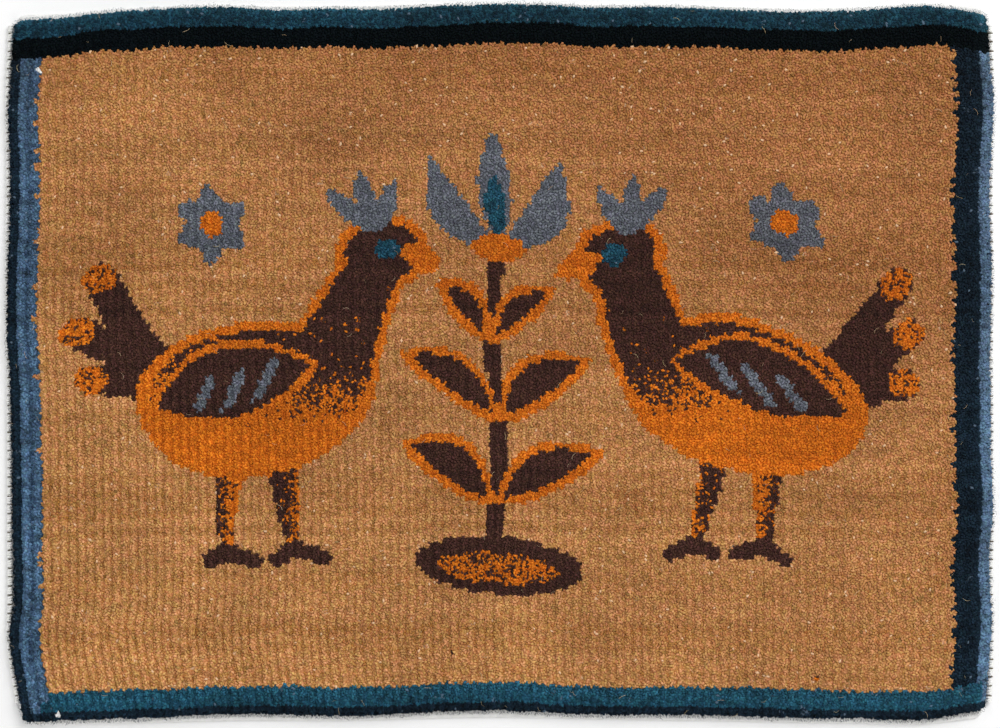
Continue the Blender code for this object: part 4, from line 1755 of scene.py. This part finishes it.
def make_cords(edge):
    """Both side cords."""
    strand = strand_ring("strand", edge.strand_width / STRAND_ROUND)
    turn_of_weft = strand_ring("turn of weft", TURN_THICKNESS)
    strand_tree, weft_tree = make_ring_tree(strand), make_ring_tree(turn_of_weft)
    draw = np.random.default_rng(WEFT_SEED)
    for cord in SIDE_CORDS:
        x, y, height, half = cord_path(cord, edge.wrap_count)
        lean = np.arctan2(np.gradient(x), np.gradient(y))
        wrap_pitch = y[1] - y[0]
        steps = (np.arange(edge.wrap_strands) - (edge.wrap_strands - 1) / 2) * edge.strand_pitch
        strand_y = (y[:, None] + steps[None, :]).ravel()
        strand_x = np.interp(strand_y, y, x)
        fan = np.tile(steps, len(y)) / edge.strand_pitch * STRAND_FAN * cord.way
        turn = np.interp(strand_y, y, -lean) + edge.wrap_slant - fan
        size = np.full((len(strand_y), 3), half)
        places = ring_places(strand_x, strand_y, height, turn, size)
        make_rings(f"wraps_{cord.name}", cord, strand_tree, places, IVORY)
        weft_y = y[:-1] + wrap_pitch * (0.5 + WEFT_SHIFT * draw.uniform(-1, 1, len(y) - 1))
        reach = half * (cord.weft_reach + WEFT_UNEVEN * draw.uniform(-1, 1, len(weft_y)))
        size = np.repeat(reach[:, None], 3, axis=1)
        weft_turn = np.interp(weft_y, y, -lean)
        places = ring_places(np.interp(weft_y, y, x), weft_y, height, weft_turn, size)
        # The weft's turns, in dark wool that paints the shade in the gaps between the wraps
        make_rings(f"weft_turns_{cord.name}", cord, weft_tree, places, SHADED_WEFT)
        make_cord_core(cord, x, y, height, half * CORE_SHARE)
    for tree in (strand_tree, weft_tree):
        bpy.data.node_groups.remove(tree)
    for shape in (strand, turn_of_weft):
        bpy.data.objects.remove(shape)


# Loose fibres on the pile

FIBRE_SHAPES = 5
FIBRE_STEPS = 5
FIBRE_SIDES = 3
FIBRE_THICKNESS = 0.014
FIBRE_LENGTHS = (2.5 * MM, 6.5 * MM)


def fibre_shape(name, draw):
    """A fine curled fibre, one long, that lies along X with a point at each end."""
    bend = draw.uniform(-2.6, 2.6)
    heading = -bend / 2
    place = np.zeros(3)
    middle = [place.copy()]
    for _ in range(FIBRE_STEPS + 1):
        place = place + np.array((math.cos(heading), math.sin(heading), 0)) / (FIBRE_STEPS + 1)
        middle.append(place.copy())
        heading += bend / (FIBRE_STEPS + 1)
    middle = np.array(middle) - np.mean(middle, axis=0)
    middle[:, 2] = 0.06 * draw.random(len(middle))
    points = [middle[0], middle[-1]]
    for step in range(1, FIBRE_STEPS + 1):
        for side in range(FIBRE_SIDES):
            angle = 2 * math.pi * side / FIBRE_SIDES
            offset = np.array((0, math.cos(angle), math.sin(angle))) * FIBRE_THICKNESS
            points.append(middle[step] + offset)
    faces = []
    last = 2 + (FIBRE_STEPS - 1) * FIBRE_SIDES
    for side in range(FIBRE_SIDES):
        after = (side + 1) % FIBRE_SIDES
        faces.append((0, 2 + after, 2 + side))
        faces.append((1, last + side, last + after))
        for step in range(FIBRE_STEPS - 1):
            first = 2 + step * FIBRE_SIDES
            second = first + FIBRE_SIDES
            faces.append((first + side, first + after, second + after, second + side))
    mesh = bpy.data.meshes.new(name)
    mesh.from_pydata([point.tolist() for point in points], [], faces)
    mesh.shade_smooth()
    set_values(mesh, "tip", "FLOAT", "POINT", np.ones(len(points)))
    return bpy.data.objects.new(name, mesh)


def make_fibre_tree(shapes):
    """Scatters a few loose fibres over the tip sheet."""
    tree, given = new_geometry_tree(
        "loose fibres",
        (
            ("Seed", "NodeSocketInt", 0),
            ("Density", "NodeSocketFloat", 1600.0),
            ("Shortest", "NodeSocketFloat", 0.004),
            ("Longest", "NodeSocketFloat", 0.01),
            ("Material", "NodeSocketMaterial", None),
        ),
    )
    points = add_node(
        tree,
        "GeometryNodeDistributePointsOnFaces",
        {"Mesh": given["Geometry"], "Density": given["Density"], "Seed": given["Seed"]},
    ).outputs["Points"]
    points = store(tree, points, "tone", random_number(tree, 0.0, 1.0, 3))
    points = store(tree, points, "hue", random_number(tree, 0.0, 1.0, 4))
    spin = add_node(
        tree,
        "ShaderNodeCombineXYZ",
        {
            "X": random_number(tree, -0.1, 0.1, 5),
            "Y": random_number(tree, -0.1, 0.1, 6),
            "Z": random_number(tree, 0.0, 2 * math.pi, 7),
        },
    ).outputs[0]
    length = random_number(tree, given["Shortest"], given["Longest"], 8)
    fibre_shapes = add_node(
        tree,
        "GeometryNodeCollectionInfo",
        {"Collection": shapes, "Separate Children": True, "Reset Children": True},
    ).outputs[0]
    fibres = add_node(
        tree,
        "GeometryNodeInstanceOnPoints",
        {
            "Points": points,
            "Instance": fibre_shapes,
            "Pick Instance": True,
            "Instance Index": calculate(
                tree, "FLOOR", random_number(tree, 0.0, FIBRE_SHAPES - 0.01, 9)
            ),
            "Rotation": spin,
            "Scale": length,
        },
    ).outputs[0]
    realized = add_node(tree, "GeometryNodeRealizeInstances", {"Geometry": fibres}).outputs[0]
    end_geometry_tree(tree, realized, given["Material"])
    return tree


def make_fibres(chart, pile):
    """Loose pale fibres that lie on the pile."""
    draw = np.random.default_rng(pile.seed + 400)
    shapes = bpy.data.collections.new("fibre shapes")
    for number in range(FIBRE_SHAPES):
        shapes.objects.link(fibre_shape(f"fibre {number}", draw))
    tree = make_fibre_tree(shapes)
    sheet = make_tip_sheet(chart, pile)
    values = {
        "Seed": pile.seed,
        "Density": pile.fibre_count / (4 * HALF_LENGTH * HALF_WIDTH),
        "Shortest": FIBRE_LENGTHS[0],
        "Longest": FIBRE_LENGTHS[1],
        "Material": wool_finishes()[CREAM],
    }
    keep(apply_tree(sheet, tree, values, "loose_fibres"), "rug_body")
    bpy.data.objects.remove(sheet)
    bpy.data.node_groups.remove(tree)
    remove_collection(shapes)


# The stage


FLOOR_REACH = 3.0
LAMP_SIZE = 1.2
LAMP_PLACE = (1.1, 1.3, 1.9)
SENSOR_WIDTH = 36
CAMERA_SHIFT = 0.3 * MM


def make_stage(stage):
    """A pale floor, soft light from all round and above, and the camera straight above."""
    scene = bpy.context.scene
    corners = np.array(((-1, -1, 0), (1, -1, 0), (1, 1, 0), (-1, 1, 0))) * FLOOR_REACH
    floor = new_object("floor", new_mesh("floor", corners, np.array(((0, 1, 2, 3),))))
    material = bpy.data.materials.new("pale floor")
    material.use_nodes = True
    shader = material.node_tree.nodes["Principled BSDF"]
    shader.inputs["Base Color"].default_value = (*stage.floor_colour, 1)
    shader.inputs["Roughness"].default_value = 0.95
    shader.inputs["Specular IOR Level"].default_value = 0.1
    floor.data.materials.append(material)

    world = bpy.data.worlds.new("soft light")
    world.use_nodes = True
    background = world.node_tree.nodes["Background"]
    background.inputs["Color"].default_value = (1, 1, 1, 1)
    background.inputs["Strength"].default_value = stage.world_light
    scene.world = world

    lamp = bpy.data.lights.new("key light", "AREA")
    lamp.energy = stage.key_power
    lamp.size = LAMP_SIZE
    key = bpy.data.objects.new("key light", lamp)
    key.location = LAMP_PLACE
    key.rotation_euler = (-key.location).to_track_quat("-Z", "Y").to_euler()
    scene.collection.objects.link(key)

    lens = bpy.data.cameras.new("camera")
    lens.lens = stage.lens
    lens.sensor_width = SENSOR_WIDTH
    lens.clip_start = 0.01
    camera = bpy.data.objects.new("camera", lens)
    distance = stage.view_width * stage.lens / lens.sensor_width
    camera.location = (CAMERA_SHIFT, 0, distance + PILE_HEIGHT)
    scene.collection.objects.link(camera)
    scene.camera = camera
    scene.view_settings.view_transform = "Standard"
    scene.view_settings.look = "None"


# Operators, panel and registration

class RUG_OT_ground(bpy.types.Operator):
    """Make the knotted ground, and the closed wool on it"""

    bl_idname = "rug.ground"
    bl_label = "Knotted Ground"

    def execute(self, context):
        chart = make_chart()
        make_ground(chart, context.scene.rug_pile)
        make_core(chart, context.scene.rug_pile)
        return {"FINISHED"}


class RUG_OT_pile(bpy.types.Operator):
    """Make the cut plies of every yarn"""

    bl_idname = "rug.pile"
    bl_label = "Cut Pile"

    def execute(self, context):
        make_pile(make_chart(), context.scene.rug_pile)
        return {"FINISHED"}


class RUG_OT_ends(bpy.types.Operator):
    """Make the flat-woven ends"""

    bl_idname = "rug.ends"
    bl_label = "Woven Ends"

    def execute(self, context):
        make_bands(context.scene.rug_edge)
        return {"FINISHED"}


class RUG_OT_cords(bpy.types.Operator):
    """Make the overcast cords along both sides"""

    bl_idname = "rug.cords"
    bl_label = "Side Cords"

    def execute(self, context):
        make_cords(context.scene.rug_edge)
        return {"FINISHED"}


class RUG_OT_fibres(bpy.types.Operator):
    """Make the fuzz and the loose fibres"""

    bl_idname = "rug.fibres"
    bl_label = "Loose Fibres"

    def execute(self, context):
        chart = make_chart()
        make_hairs(chart, context.scene.rug_pile)
        make_fibres(chart, context.scene.rug_pile)
        return {"FINISHED"}


class RUG_OT_stage(bpy.types.Operator):
    """Make the floor, the lights and the camera"""

    bl_idname = "rug.stage"
    bl_label = "Stage"

    def execute(self, context):
        make_stage(context.scene.rug_stage)
        return {"FINISHED"}


STEPS = (RUG_OT_ground, RUG_OT_pile, RUG_OT_ends, RUG_OT_cords, RUG_OT_fibres, RUG_OT_stage)


class RUG_PT_panel(bpy.types.Panel):
    """The rug's settings and steps"""

    bl_idname = "RUG_PT_panel"
    bl_label = "Knotted Rug"
    bl_space_type = "VIEW_3D"
    bl_region_type = "UI"
    bl_category = "Rug"

    def draw(self, context):
        for step in STEPS:
            self.layout.operator(step.bl_idname)
        scene = context.scene
        for settings in (scene.rug_pile, scene.rug_wool, scene.rug_edge, scene.rug_stage):
            box = self.layout.box()
            for name in settings.bl_rna.properties.keys():
                if name not in ("rna_type", "name"):
                    box.prop(settings, name)


CLASSES = (PileSettings, WoolColours, EdgeSettings, StageSettings, *STEPS, RUG_PT_panel)


def register():
    for cls in CLASSES:
        bpy.utils.register_class(cls)
    bpy.types.Scene.rug_pile = PointerProperty(type=PileSettings)
    bpy.types.Scene.rug_wool = PointerProperty(type=WoolColours)
    bpy.types.Scene.rug_edge = PointerProperty(type=EdgeSettings)
    bpy.types.Scene.rug_stage = PointerProperty(type=StageSettings)


def unregister():
    for name in ("rug_pile", "rug_wool", "rug_edge", "rug_stage"):
        delattr(bpy.types.Scene, name)
    for cls in reversed(CLASSES):
        bpy.utils.unregister_class(cls)


def main():
    register()
    bpy.ops.rug.ground()
    bpy.ops.rug.pile()
    bpy.ops.rug.ends()
    bpy.ops.rug.cords()
    bpy.ops.rug.fibres()
    bpy.ops.rug.stage()


if __name__ == "__main__":
    main()
